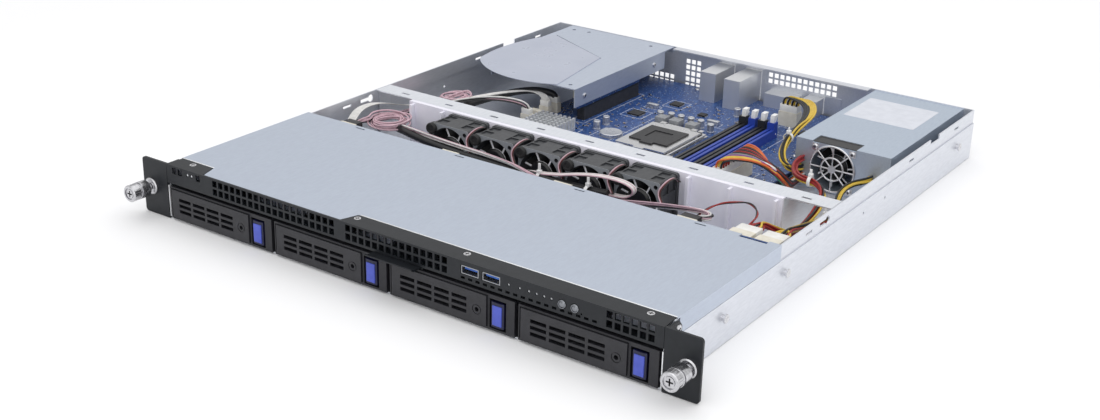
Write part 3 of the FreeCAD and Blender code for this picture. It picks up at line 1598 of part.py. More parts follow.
def riser_card():
    """The upright card that turns the expansion slot sideways, stepped in at its contact edge."""
    half = S.board_thickness / 2
    rear = S.slot_front + S.slot_length
    top = BOARD_TOP + S.slot_height
    edge = box(
        "card_edge",
        (S.slot_x - half, S.slot_front + 2, CARD_LOW),
        (S.slot_x + half, rear - 2, top + 1),
    )
    card = box(
        "card_plate",
        (S.slot_x - half, S.slot_front - 6, top + S.gap),
        (S.slot_x + half, rear + 6, S.riser_top - S.sheet - S.gap),
    )
    finish(fuse("riser_card", [edge, card]))


def riser_bracket():
    """The folded steel roof over the expansion card, with a slit that holds the air film."""
    body = new_body("riser_bracket")
    rear = REAR_INNER - S.gap
    under = S.riser_top - S.sheet
    roof = outline(
        body, "roof_outline", "XY_Plane", under,
        [
            (S.riser_left, S.riser_front + 32),
            (S.riser_left + 45, S.riser_front),
            (S.riser_right, S.riser_front),
            (S.riser_right, rear),
            (S.riser_left, rear),
        ],
    )
    pad(body, "riser_roof", roof, S.sheet)
    for name, level, front, low, back in (
        ("right_flange", S.riser_right - S.sheet, S.riser_front, under - S.riser_flange, rear - 17),
        ("left_flange", S.riser_left, S.riser_front + 34, under - 17, rear - 8),
    ):
        side = outline(body, name + "_outline", "YZ_Plane", level, rectangle(front, low, back, under))
        pad(body, name, side, S.sheet)
    back = outline(
        body, "back_flange_outline", "XZ_Plane", rear - S.sheet,
        rectangle(S.riser_left, SLOT_HIGH + 2, S.riser_right, under),
    )
    pad(body, "back_flange", back, S.sheet)
    left, right = S.riser_left + 7, S.riser_right - 34
    slit = outline(
        body, "slit_outline", "XY_Plane", under - S.gap,
        [
            (left, FILM_REAR),
            (right, FILM_REAR - 37),
            (right + 0.6, FILM_REAR - 35.7),
            (left + 0.6, FILM_REAR + 1.3),
        ],
    )
    pocket(body, "film_slit", slit, 2 * S.sheet)
    holes = circles(
        body, "roof_holes_outline", "XY_Plane", under - S.gap,
        (S.riser_left + 10, rear - 12, 1.8),
        (S.riser_left + 26, rear - 10, 1.8),
        (S.riser_right - 19, rear - 12, 1.8),
        (S.riser_right - 11, S.riser_front + 9, 1.8),
    )
    pocket(body, "roof_holes", holes, 2 * S.sheet)
    finish(body)


def air_guide():
    """A thin film from the roof's slit towards the fans, with a curved free edge."""
    left, right = S.riser_left.value, S.riser_right.value
    front, rear, level = S.riser_front.value, FILM_REAR.value, S.riser_top.value
    slit_left = VECTOR(left + 7.5, rear - 0.5, level)
    slit_right = VECTOR(right - 34.5, rear - 36.5, level)
    roof_corner = VECTOR(right - 20, front + 1.5, level)
    front_middle = VECTOR(left + 55, front - 9, level)
    front_left = VECTOR(left - 3, front + 21, level)
    side_middle = VECTOR(left - 8, front + 69, level)
    edges = [
        Part.LineSegment(slit_left, slit_right).toShape(),
        Part.LineSegment(slit_right, roof_corner).toShape(),
        Part.Arc(roof_corner, front_middle, front_left).toShape(),
        Part.Arc(front_left, side_middle, slit_left).toShape(),
    ]
    film = doc.addObject("Part::Feature", "air_guide")
    film.Shape = Part.Face(Part.Wire(edges)).extrude(VECTOR(0, 0, S.guide_thickness.value))
    finish(film)


def slot_cover():
    """The blanking plate in the expansion window of the rear wall."""
    margin = 1.5
    (left, low), _, (right, high), _ = SLOT_WINDOW
    plate = box(
        "cover_plate",
        (left - margin, REAR_INNER - 0.8, low - margin),
        (right + margin, REAR_INNER, high + margin),
    )
    step = box(
        "cover_step",
        (left + S.gap, REAR_INNER - 0.1, low + S.gap),
        (right - S.gap, S.chassis_depth - S.gap, high - S.gap),
    )
    finish(fuse("slot_cover", [plate, step]))


def psu_case():
    """The power supply's steel case, with its fan well, top cut-out, inlet pocket and rear vents."""
    body = new_body("psu_case")
    fan = (S.psu_fan_x, S.psu_fan_z)
    seat_front = PSU_FAN_FRONT + STATOR_FRONT
    block = outline(
        body, "psu_outline", "XZ_Plane", S.psu_front, rectangle(S.psu_left, S.sheet, PSU_RIGHT, S.psu_top)
    )
    pad(body, "psu_block", block, REAR_INNER - S.psu_front)
    well = circles(body, "psu_well_outline", "XZ_Plane", S.psu_front - S.gap, (*fan, S.fan_bore))
    pocket(body, "psu_well", well, S.fan_depth + 4)
    seat = circles(body, "psu_seat_outline", "XZ_Plane", seat_front, (*fan, STATOR_RADIUS))
    pad(body, "psu_motor_seat", seat, S.fan_depth)
    shaft = circles(
        body, "psu_bearing_outline", "XZ_Plane", seat_front - S.gap, (*fan, S.fan_shaft + S.running_fit)
    )
    pocket(body, "psu_bearing", shaft, SHAFT_DEPTH + S.gap)
    half = S.fan_size / 2 - 1
    step = outline(
        body, "psu_step_outline", "XY_Plane", S.psu_top - 0.8,
        rectangle(S.psu_fan_x - half, S.psu_front - 1, S.psu_fan_x + half, S.psu_front + 15),
    )
    pocket(body, "psu_step", step, 2)
    left, low, right, high = INLET
    socket = outline(
        body, "inlet_pocket_outline", "XZ_Plane", REAR_INNER - INLET_DEPTH,
        rectangle(left - S.gap, low - S.gap, right + S.gap, high + S.gap),
    )
    pocket(body, "inlet_pocket", socket, INLET_DEPTH + S.gap)
    vent_left, vent_low = S.psu_left + 9, 8
    vent = outline(
        body, "psu_vent_outline", "XZ_Plane", REAR_INNER - 3,
        rectangle(vent_left, vent_low, vent_left + REAR_VENT, vent_low + REAR_VENT),
    )
    hole = pocket(body, "psu_vent", vent, 4)
    repeat(body, "psu_vents", hole, "X_Axis", REAR_VENT_PITCH, 5, "Z_Axis", REAR_VENT_PITCH, 5)
    finish(body)


def psu_inlet():
    """The mains inlet: a block with a six-sided mouth and three upright blades."""
    body = new_body("psu_inlet")
    left, low, right, high = INLET
    rear = S.chassis_depth + 0.6
    front = REAR_INNER - INLET_DEPTH
    block = outline(body, "inlet_outline", "XZ_Plane", front, rectangle(left, low, right, high))
    pad(body, "inlet_block", block, rear - front)
    wall, corner = 2, 4
    mouth = outline(
        body, "inlet_mouth_outline", "XZ_Plane", rear - INLET_CAVITY,
        [
            (left + wall, low + wall),
            (right - wall, low + wall),
            (right - wall, high - wall - corner),
            (right - wall - corner, high - wall),
            (left + wall + corner, high - wall),
            (left + wall, high - wall - corner),
        ],
    )
    pocket(body, "inlet_mouth", mouth, INLET_CAVITY + S.gap)
    middle = (left + right) / 2
    feet = [
        rectangle(middle + x - 1, low + z, middle + x + 1, low + z + 4)
        for x, z in ((-7, 5), (7, 5), (0, 11))
    ]
    blades = outline(body, "inlet_blades_outline", "XZ_Plane", rear - INLET_CAVITY - 1, *feet)
    pad(body, "inlet_blades", blades, INLET_CAVITY - 4)
    finish(body)


def psu_fan_guard():
    """Two wire rings on eight spokes from a small hub over the supply's fan, with four screw tabs."""
    y = S.psu_front - S.guard_wire - 0.1
    outer = S.fan_bore + 0.3
    pieces = [
        ring(f"guard_ring_{i}", (S.psu_fan_x, y, S.psu_fan_z), "Y", outer * share, S.guard_wire)
        for i, share in enumerate((1, 0.5), start=1)
    ]
    hub = rod("guard_hub", (S.psu_fan_x, y - S.guard_wire, S.psu_fan_z), "Y", GUARD_HUB, S.guard_wire * 2)
    pieces.append(hub)
    for i in range(GUARD_SPOKES):
        degrees = 360 / GUARD_SPOKES * i
        angle = math.radians(degrees)
        root = (
            S.psu_fan_x + SPOKE_ROOT * math.sin(angle),
            y,
            S.psu_fan_z + SPOKE_ROOT * math.cos(angle),
        )
        lean = FreeCAD.Rotation(VECTOR(0, 1, 0), degrees)
        pieces.append(rod(f"guard_spoke_{i + 1}", root, lean, S.guard_wire * 0.8, outer - SPOKE_ROOT))
    for i, (x, z) in enumerate(GUARD_CORNERS, start=1):
        middle = (S.psu_fan_x + x * GUARD_REACH, S.psu_fan_z + z * GUARD_REACH)
        pieces.append(
            box(
                f"guard_tab_{i}",
                (middle[0] - 2.8, S.psu_front - S.guard_wire, middle[1] - 2.8),
                (middle[0] + 2.8, S.psu_front, middle[1] + 2.8),
            )
        )
    finish(fuse("psu_fan_guard", pieces))


def fasteners():
    """Screws, standoffs, rail studs and the bushes in the ears."""
    pieces = ferrules()
    floor = S.unit_height - LIP_RECESS
    for i, x in enumerate(LIP_SCREWS, start=1):
        head = rod(f"lip_screw_head_{i}", (x, LIP_SCREW_Y, floor), "Z", LIP_SCREW_RADIUS, LIP_RECESS - 0.1)
        shank = rod(f"lip_screw_shank_{i}", (x, LIP_SCREW_Y, floor - 5), "Z", LIP_SHANK, 5.1)
        pieces.append(fuse(f"lip_screw_{i}", [head, shank]))
    for i, (x, y) in enumerate(STANDOFFS, start=1):
        spot = (S.board_left + x, S.board_front + y)
        pieces.append(rod(f"standoff_{i}", (*spot, S.sheet), "Z", S.standoff_radius, S.board_low - S.sheet))
        pieces.append(rod(f"board_screw_{i}", (*spot, BOARD_TOP), "Z", S.standoff_radius, 1.6))
    neck, head = 2.2, 1.2
    ear_face = HALF + S.gap + S.ear_thickness
    for name, side in (("left", -1), ("right", 1)):
        for i, y in enumerate(RAIL_STUDS, start=1):
            start = HALF if side > 0 else -HALF - neck
            cap_start = HALF + neck if side > 0 else -HALF - neck - head
            shank = rod(f"{name}_stud_shank_{i}", (start, y, RAIL_STUD_Z), "X", RAIL_STUD_RADIUS, neck)
            cap = rod(f"{name}_stud_head_{i}", (cap_start, y, RAIL_STUD_Z), "X", RAIL_STUD_RADIUS + 1, head)
            pieces.append(fuse(f"{name}_rail_stud_{i}", [shank, cap]))
        start = ear_face if side > 0 else -ear_face - head
        for i, z in enumerate((9, 38), start=1):
            pieces.append(rod(f"{name}_ear_screw_{i}", (start, 12.5, z), "X", 2.8, head))
    flange_middle = S.riser_top - S.sheet - S.riser_flange / 2
    for i, y in enumerate((15, 131.5), start=1):
        spot = (S.riser_right, S.riser_front + y, flange_middle)
        pieces.append(rod(f"riser_screw_{i}", spot, "X", 2.4, head))
    for i, (x, z) in enumerate(GUARD_CORNERS, start=1):
        spot = (
            S.psu_fan_x + x * GUARD_REACH,
            S.psu_front - S.guard_wire - head,
            S.psu_fan_z + z * GUARD_REACH,
        )
        pieces.append(rod(f"guard_screw_{i}", spot, "Y", 2.4, head))
    finish(group("fasteners", pieces))


def wire_harness():
    """The cable bundles, each tied along its whole way between two connectors."""
    header = (-116, HEADER_TOP.value)
    fan_header, data_header = HEADERS[3] + HEADER_LENGTH / 2, HEADERS[0] + HEADER_LENGTH / 2
    socket_rear = (S.backplane_front + S.board_thickness).value
    data_end = socket_rear + DATA_SOCKET_DEPTH
    drive_end = socket_rear + DRIVE_SOCKET_DEPTH
    first_data, last_data = (tray_left(i).value + DATA_SOCKET_MIDDLE for i in (1, SIZES["bay_count"]))
    psu_face = S.psu_front.value
    power_top = POWER_SOCKET_TOP.value
    main_x, main_y = (MAIN_SOCKET[0] + MAIN_SOCKET[2]) / 2, 306
    processor_x = (PROCESSOR_SOCKET[0] + PROCESSOR_SOCKET[2]) / 2
    processor_y = (PROCESSOR_SOCKET[1] + PROCESSOR_SOCKET[3]) / 2
    routes = {
        "fan_bundle": (3, [
            (header[0], fan_header, header[1]), (-116, 361, 26), (-140, 352, 28), (-170, 330, 18),
            (-188, 296, 10), (-182, 262, 8), (-180, 236, 12), (-178, 214, 22), (-158, 197, 30),
            (-110, 194.6, 29), (-60, 195.6, 30), (-10, 194.6, 29.5), (40, 195.6, 30.5), (80, 194.6, 29.5),
            (112, 186, 30), (last_data, 186, 31), (last_data, data_end, 31),
        ]),
        "data_bundle": (3, [
            (header[0], data_header, header[1]), (-116, 319, 26), (-135, 312, 30), (-165, 292, 26),
            (-187, 266, 22), (-192, 238, 22), (-192, 205, 27), (first_data, 188, 31),
            (first_data, data_end, 31),
        ]),
        "main_power_bundle": (4, [
            (131, psu_face, 10), (131, 340, 10), (137, 320, 14), (140, 305, 23), (133, 299, 32),
            (119, 304, 36), (104, 308, 36), (main_x, main_y, 31), (main_x, main_y, power_top),
        ]),
        "processor_power_bundle": (3.2, [
            (130.5, psu_face, 22), (130.5, 346, 22), (120, 340, 25), (110, 354, 30), (104, 390, 32),
            (92, 430, 32), (80, 452, 31), (processor_x, processor_y, 30),
            (processor_x, processor_y, power_top),
        ]),
        "drive_power_bundle": (3.5, [
            (190, psu_face, 22), (190, 348, 22), (183, 334, 22), (182, 318, 20), (187, 302, 17),
            (193, 282, 15), (193, 256, 18), (192, 224, 24), (196, 196, 31), (196, drive_end, 31),
        ]),
        "second_power_bundle": (3, [
            (130.5, psu_face, 32), (130.5, 345, 32), (136, 328, 30), (147, 311, 29), (158, 302, 30),
            (170, 299, 30), (180, 292, 27), (184, 276, 21), (184, 255, 14), (183, 232, 14),
            (181, 212, 24), (175, 196, 31),
            (175, drive_end, 31),
        ]),
    }
    finish(group("wire_harness", [tube(name, points, radius) for name, (radius, points) in routes.items()]))


def build():
    """Every piece, from the chassis and front to the rear."""
    chassis_pan()
    front_panel()
    front_cover()
    rack_ears()
    thumbscrews()
    bay_dividers()
    for i in range(1, SIZES["bay_count"] + 1):
        drive_tray(i)
        tray_lever(i)
        tray_latch(i)
    pull_tag()
    panel_buttons()
    front_io_module()
    sockets = backplane()
    fans()
    fan_shroud()
    cross_bar()
    motherboard()
    cpu_socket()
    cpu_load_plate()
    socket_cap()
    cpu_load_lever()
    dimm_slots()
    for i in range(1, SIZES["dimm_count"] + 1):
        dimm_latch(i)
    chipset_heatsink()
    board_components()
    board_sockets(sockets)
    rear_port_blocks()
    io_shield()
    pcie_slot()
    riser_card()
    riser_bracket()
    air_guide()
    slot_cover()
    psu_case()
    psu_inlet()
    fan_rotor("psu_fan_rotor", S.psu_fan_x, PSU_FAN_FRONT, S.psu_fan_z)
    psu_fan_guard()
    fasteners()
    wire_harness()


def check():
    """Stops if a feature failed, a cut removed nothing, or a sub-part is empty or broken."""
    faults = []
    for feature in doc.Objects:
        if "Invalid" in feature.State or "Error" in feature.State:
            faults.append(f"{feature.Name} failed")
        elif feature.TypeId == "PartDesign::Pocket":
            if feature.Shape.Volume >= feature.BaseFeature.Shape.Volume:
                faults.append(f"{feature.Name} cuts nothing")
        elif feature.TypeId == "PartDesign::Body" and not feature.Shape.isValid():
            faults.append(f"{feature.Name} is not valid")
    for node in nodes:
        if node.Shape.isNull() or not node.Shape.Solids:
            faults.append(f"{node.Label} is empty")
        elif not node.Shape.isValid():
            faults.append(f"{node.Label} is not valid")
    if faults:
        raise RuntimeError("; ".join(faults))


def export():
    """One file for each finished sub-part."""
    os.makedirs("parts", exist_ok=True)
    for node in nodes:
        node.Shape.exportStep(f"parts/{node.Label}.step")
    print(len(nodes), "sub-parts,", sum(len(node.Shape.Solids) for node in nodes), "solids")


build()
doc.recompute()
check()
export()
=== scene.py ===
import math
import random

import bpy
from mathutils import Matrix, Vector


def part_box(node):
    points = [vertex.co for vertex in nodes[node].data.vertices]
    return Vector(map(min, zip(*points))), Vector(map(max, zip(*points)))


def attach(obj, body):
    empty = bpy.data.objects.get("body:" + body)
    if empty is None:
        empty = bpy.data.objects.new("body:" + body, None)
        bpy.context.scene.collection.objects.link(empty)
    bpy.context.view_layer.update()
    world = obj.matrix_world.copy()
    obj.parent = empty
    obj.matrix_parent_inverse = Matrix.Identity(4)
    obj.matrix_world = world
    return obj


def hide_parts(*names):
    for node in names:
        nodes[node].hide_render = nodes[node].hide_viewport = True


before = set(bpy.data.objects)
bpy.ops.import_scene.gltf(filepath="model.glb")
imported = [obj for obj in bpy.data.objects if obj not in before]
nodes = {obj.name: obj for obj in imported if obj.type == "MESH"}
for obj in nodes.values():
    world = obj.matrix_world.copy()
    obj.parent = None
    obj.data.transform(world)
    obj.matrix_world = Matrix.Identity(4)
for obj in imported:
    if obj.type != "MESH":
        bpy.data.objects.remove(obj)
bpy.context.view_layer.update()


# Chassis pan
# The folded tray that carries everything, of zinc-plated steel sheet.
# Its floor, stepped side walls and rear wall are one blank, pierced and then bent.

def new_finish(name, colour, metallic, roughness):
    """A plain material, which the helpers below give its pattern."""
    made = bpy.data.materials.new(name)
    made.use_nodes = True
    shader = made.node_tree.nodes["Principled BSDF"]
    shader.inputs["Base Color"].default_value = (*colour, 1)
    shader.inputs["Metallic"].default_value = metallic
    shader.inputs["Roughness"].default_value = roughness
    return made


def noise(made, scale, detail, stretch=(1, 1, 1)):
    """A cloud pattern in the piece's own coordinates."""
    tree = made.node_tree
    place = tree.nodes.new("ShaderNodeTexCoord")
    mapping = tree.nodes.new("ShaderNodeMapping")
    mapping.inputs["Scale"].default_value = stretch
    cloud = tree.nodes.new("ShaderNodeTexNoise")
    cloud.inputs["Scale"].default_value = scale
    cloud.inputs["Detail"].default_value = detail
    tree.links.new(place.outputs["Object"], mapping.inputs["Vector"])
    tree.links.new(mapping.outputs["Vector"], cloud.inputs["Vector"])
    return cloud.outputs["Fac"]


def tint(made, value, dark, light, low=0.35, high=0.65):
    """Goes from a dark colour to a light one as a value rises."""
    tree = made.node_tree
    ramp = tree.nodes.new("ShaderNodeValToRGB")
    ramp.color_ramp.elements[0].position = low
    ramp.color_ramp.elements[0].color = (*dark, 1)
    ramp.color_ramp.elements[1].position = high
    ramp.color_ramp.elements[1].color = (*light, 1)
    tree.links.new(value, ramp.inputs["Fac"])
    tree.links.new(ramp.outputs["Color"], tree.nodes["Principled BSDF"].inputs["Base Color"])


def patchy_gloss(made, value, low, high):
    """Varies the roughness with a cloud pattern."""
    tree = made.node_tree
    scaled = tree.nodes.new("ShaderNodeMapRange")
    scaled.inputs["From Min"].default_value = 0.3
    scaled.inputs["From Max"].default_value = 0.7
    scaled.inputs["To Min"].default_value = low
    scaled.inputs["To Max"].default_value = high
    tree.links.new(value, scaled.inputs["Value"])
    tree.links.new(scaled.outputs["Result"], tree.nodes["Principled BSDF"].inputs["Roughness"])


def grain(made, value, strength, depth=0.0002):
    """Raises a fine texture from a pattern."""
    tree = made.node_tree
    bump = tree.nodes.new("ShaderNodeBump")
    bump.inputs["Strength"].default_value = strength
    bump.inputs["Distance"].default_value = depth
    tree.links.new(value, bump.inputs["Height"])
    tree.links.new(bump.outputs["Normal"], tree.nodes["Principled BSDF"].inputs["Normal"])


def zinc_sheet(name, dark, light):
    """Plated sheet, with its fine grain drawn out along Y."""
    made = new_finish(name, light, 0.75, 0.4)
    tint(made, noise(made, 700, 3, (1, 0.2, 1)), dark, light)
    patchy_gloss(made, noise(made, 260, 4), 0.36, 0.43)
    grain(made, noise(made, 1500, 2, (1, 0.1, 1)), 0.06, 0.0001)
    return made


def dress(made, *names):
    """Gives CAD nodes their material."""
    for name in names:
        slots = nodes[name].data.materials
        slots.clear()
        slots.append(made)


pan_zinc = zinc_sheet("pan_zinc", (0.70, 0.72, 0.77), (0.75, 0.77, 0.82))
dress(pan_zinc, "chassis_pan", "bay_dividers", "slot_cover", "io_shield")


# Front cover and cross bar
# The fixed top over the drives and the bar behind the fans, of the same plated sheet.
# Bright strips along the front edges of the cover and of the pan's walls are painted highlights: the glint
# of the bare steel edges beside the black panel.

mm = 0.001


def span(name):
    """The corners of a CAD node's box in millimetres."""
    low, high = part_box(name)
    return low / mm, high / mm


def boxed(name, low, high):
    """A block between two corners in millimetres."""
    bpy.ops.object.select_all(action="DESELECT")
    low, high = Vector(low) * mm, Vector(high) * mm
    bpy.ops.mesh.primitive_cube_add(size=1, location=(low + high) / 2, scale=high - low)
    piece = bpy.context.object
    piece.name = name
    bpy.ops.object.transform_apply(location=True, rotation=True, scale=True)
    return piece


def take(piece):
    """Makes a piece the active one and the only one selected."""
    bpy.ops.object.select_all(action="DESELECT")
    piece.select_set(True)
    bpy.context.view_layer.objects.active = piece


def modified(piece, kind, **settings):
    """Adds a modifier to a piece, sets it and applies it."""
    take(piece)
    bpy.ops.object.modifier_add(type=kind)
    added = piece.modifiers[-1]
    for name, value in settings.items():
        setattr(added, name, value)
    bpy.ops.object.modifier_apply(modifier=added.name)
    return piece


def soften(piece, width, segments=2):
    """Rounds the sharp edges of a piece."""
    return modified(piece, "BEVEL", width=width * mm, segments=segments, limit_method="ANGLE")


def settle(piece, made, body="chassis"):
    """Gives a finished piece its material and the body that it rides on."""
    take(piece)
    if not piece.data.materials:
        piece.data.materials.append(made)
    if piece.type == "MESH":
        bpy.ops.object.shade_smooth_by_angle(angle=math.radians(35))
    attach(piece, body)
    return piece


cover_zinc = zinc_sheet("cover_zinc", (0.51, 0.56, 0.655), (0.535, 0.59, 0.685))
dress(cover_zinc, "front_cover")
bar_zinc = zinc_sheet("bar_zinc", (0.76, 0.79, 0.84), (0.82, 0.84, 0.89))
dress(bar_zinc, "cross_bar")

# Painted highlight: pale strips that stand in for the glint on the bare steel edges.
painted_edge_glint = new_finish("painted_edge_glint", (0.86, 0.87, 0.89), 0.5, 0.3)
patchy_gloss(painted_edge_glint, noise(painted_edge_glint, 300, 2), 0.26, 0.36)
pan_low, pan_high = span("chassis_pan")
panel_low, panel_high = span("front_panel")
edge_round = 0.2
cover_half = pan_high.x - 0.5
left_lip_end, right_lip_start = -181, -37.6
strip_front, strip_rear = panel_high.y + 0.3, panel_high.y + 1.3
strip_foot, strip_top = panel_high.z - 0.2, panel_high.z + 0.25
for name, left, right in (
    ("right_cover_glint", right_lip_start, cover_half), ("left_cover_glint", -cover_half, left_lip_end),
):
    edge = boxed(name, (left, strip_front, strip_foot), (right, strip_rear, strip_top))
    settle(soften(edge, edge_round), painted_edge_glint)
wall_edge, wall_reach = 0.9, 1.6
wall_foot, wall_top = pan_low.z + 1.4, panel_low.z - 0.2
for name, left in (("right_wall_glint", pan_high.x - wall_edge), ("left_wall_glint", pan_low.x)):
    edge = boxed(name, (left, pan_low.y - wall_reach, wall_foot), (left + wall_edge, pan_low.y, wall_top))
    settle(soften(edge, edge_round), painted_edge_glint)


# Rack ears and front panel
# Bent steel in a fine black powder coat, screwed to the pan's sides and top.
# Clear light lenses sit in the small holes of the panel.

def turned(name, foot, axis, rings, sides=24):
    """A turned form: a disc drawn out along an axis, each ring a place along it and a radius."""
    bpy.ops.object.select_all(action="DESELECT")
    along = "XYZ".index(axis)
    tilt = ((0, math.pi / 2, 0), (math.pi / 2, 0, 0), (0, 0, 0))[along]
    centre = Vector(foot) * mm
    centre[along] += rings[0][0] * mm
    bpy.ops.mesh.primitive_circle_add(
        vertices=sides, radius=rings[0][1] * mm, fill_type="NGON", location=centre, rotation=tilt
    )
    piece = bpy.context.object
    piece.name = name
    bpy.ops.object.transform_apply(location=True, rotation=True, scale=True)
    bpy.ops.object.mode_set(mode="EDIT")
    bpy.ops.mesh.select_all(action="SELECT")
    for (low, wide), (high, next_wide) in zip(rings, rings[1:]):
        step = Vector((0, 0, 0))
        step[along] = (high - low) * mm
        bpy.ops.mesh.extrude_region_move(TRANSFORM_OT_translate={"value": step})
        centre += step
        grow = Vector((next_wide / wide,) * 3)
        grow[along] = 1
        bpy.ops.transform.resize(value=grow, center_override=centre)
    bpy.ops.mesh.select_all(action="SELECT")
    bpy.ops.mesh.normals_make_consistent(inside=False)
    bpy.ops.object.mode_set(mode="OBJECT")
    return piece


def copy_to(piece, name, shift):
    """A copy with a mesh of its own, moved by millimetres."""
    twin = piece.copy()
    twin.data = piece.data.copy()
    twin.name = name
    twin.data.transform(Matrix.Translation(Vector(shift) * mm))
    bpy.context.collection.objects.link(twin)
    return twin


def repeated(first, name, places):
    """Copies of a piece at several places; the first one itself goes."""
    copies = [copy_to(first, name, place) for place in places]
    bpy.data.objects.remove(first)
    return copies


def gather(name, pieces):
    """Joins small pieces of one kind into one."""
    take(pieces[0])
    for piece in pieces:
        piece.select_set(True)
    bpy.ops.object.join()
    pieces[0].name = name
    return pieces[0]


black_coat = new_finish("black_coat", (0.010, 0.011, 0.014), 0.0, 0.46)
black_coat.node_tree.nodes["Principled BSDF"].inputs["Specular IOR Level"].default_value = 0.36
tint(black_coat, noise(black_coat, 160, 3), (0.009, 0.011, 0.014), (0.012, 0.014, 0.018))
grain(black_coat, noise(black_coat, 1500, 2), 0.2)
dress(black_coat, "rack_ears", "front_panel", "pull_tag")

light_clear = new_finish("light_clear", (0.75, 0.77, 0.80), 0.0, 0.2)
tint(light_clear, noise(light_clear, 900, 2), (0.66, 0.68, 0.72), (0.82, 0.84, 0.88))
light_dim = new_finish("light_dim", (0.42, 0.43, 0.45), 0.0, 0.25)
tint(light_dim, noise(light_dim, 900, 2), (0.34, 0.35, 0.37), (0.50, 0.51, 0.53))
lens_rings = ((1.1, 0.9), (0.6, 0.85), (0.35, 0.6), (0.25, 0.25))
for name, made, height, places in (
    ("corner_lenses", light_clear, 39.6, (-193, -188.7)),
    ("status_lenses", light_dim, 37.2, (100.3, 109, 116.1, 122, 127.8, 133.3)),
):
    lenses = [turned(name, (x, panel_low.y, height), "Y", lens_rings, 12) for x in places]
    settle(gather(name, lenses), made)


# Drive trays
# Moulded black fronts on folded rails; the slotted front swings out as a lever.
# Each release button carries a raised, bright blue pad; the button's dark navy round it is painted shade.

tray_black = new_finish("tray_black", (0.018, 0.018, 0.020), 0.0, 0.5)
tint(tray_black, noise(tray_black, 220, 3), (0.011, 0.011, 0.015), (0.016, 0.016, 0.020))
grain(tray_black, noise(tray_black, 2200, 2), 0.3)
lever_black = new_finish("lever_black", (0.024, 0.024, 0.026), 0.0, 0.46)
tint(lever_black, noise(lever_black, 220, 3), (0.015, 0.015, 0.019), (0.021, 0.021, 0.026))
grain(lever_black, noise(lever_black, 2200, 2), 0.3)
# The dark navy of the release button round its bright pad is painted shade, a darker copy of the pad's blue.
latch_painted_shade = new_finish("latch_painted_shade", (0.006, 0.007, 0.035), 0.0, 0.4)
tint(latch_painted_shade, noise(latch_painted_shade, 300, 2), (0.005, 0.006, 0.030), (0.008, 0.009, 0.042))
latch_blue = new_finish("latch_blue", (0.065, 0.095, 0.50), 0.0, 0.36)
tint(latch_blue, noise(latch_blue, 300, 2), (0.060, 0.088, 0.47), (0.070, 0.102, 0.53))
patchy_gloss(latch_blue, noise(latch_blue, 500, 2), 0.32, 0.42)
pad_half, pad_proud, pad_sunk, pad_foot, pad_head = 3.7, 0.6, 0.8, 1.5, 15.6
for i in range(1, 5):
    dress(tray_black, f"drive_tray_{i}")
    dress(lever_black, f"tray_lever_{i}")
    dress(latch_painted_shade, f"tray_latch_{i}")
    low, high = span(f"tray_latch_{i}")
    middle = (low.x + high.x) / 2
    pad_low = (middle - pad_half, low.y - pad_proud, low.z + pad_foot)
    pad_high = (middle + pad_half, low.y + pad_sunk, low.z + pad_head)
    pad = boxed(f"latch_pad_{i}", pad_low, pad_high)
    settle(soften(pad, 0.45, 3), latch_blue, f"latch_{i}")


# Thumbscrews
# Turned steel with bright plating and a knurled grip; a crossed recess takes a driver, its dark inside
# painted shade.
# Each rides in a bush in its ear, held by a clip behind it.

def pick(piece, test):
    """Opens a piece's mesh with the faces selected that pass a test."""
    take(piece)
    bpy.ops.object.mode_set(mode="EDIT")
    bpy.ops.mesh.select_mode(type="FACE")
    bpy.ops.mesh.select_all(action="DESELECT")
    bpy.ops.object.mode_set(mode="OBJECT")
    for face in piece.data.polygons:
        face.select = test(face)
    bpy.ops.object.mode_set(mode="EDIT")


# Painted shade: the dark colour inside the cut recesses stands in for the shade that falls in them.
painted_recess_shade = new_finish("painted_recess_shade", (0.05, 0.05, 0.055), 0.6, 0.5)
tint(painted_recess_shade, noise(painted_recess_shade, 900, 2), (0.04, 0.04, 0.045), (0.07, 0.07, 0.075))


def cut_away(piece, made, tool):
    """Takes the tool's form out of a piece and colours the recess with painted shade."""
    piece.data.materials.append(made)
    tool.data.materials.append(painted_recess_shade)
    modified(piece, "BOOLEAN", operation="DIFFERENCE", material_mode="TRANSFER", object=tool)
    bpy.data.objects.remove(tool)
    return piece


def cross_tool(centre, axis, reach, width, depth):
    """Two crossing bars that cut a screw's crossed recess, centred on its head."""
    along = "XYZ".index(axis)
    bars = []
    for across in range(3):
        if across == along:
            continue
        half = Vector((width / 2,) * 3)
        half[across] = reach
        half[along] = depth
        bars.append(boxed("recess_bar", Vector(centre) - half, Vector(centre) + half))
    modified(bars[0], "BOOLEAN", operation="UNION", object=bars[1])
    bpy.data.objects.remove(bars[1])
    return bars[0]


bright_plate = new_finish("bright_plate", (0.58, 0.58, 0.60), 1.0, 0.2)
tint(bright_plate, noise(bright_plate, 500, 2), (0.52, 0.52, 0.54), (0.62, 0.62, 0.64))
patchy_gloss(bright_plate, noise(bright_plate, 400, 2), 0.17, 0.28)
dress(bright_plate, "left_screw_clip", "right_screw_clip")

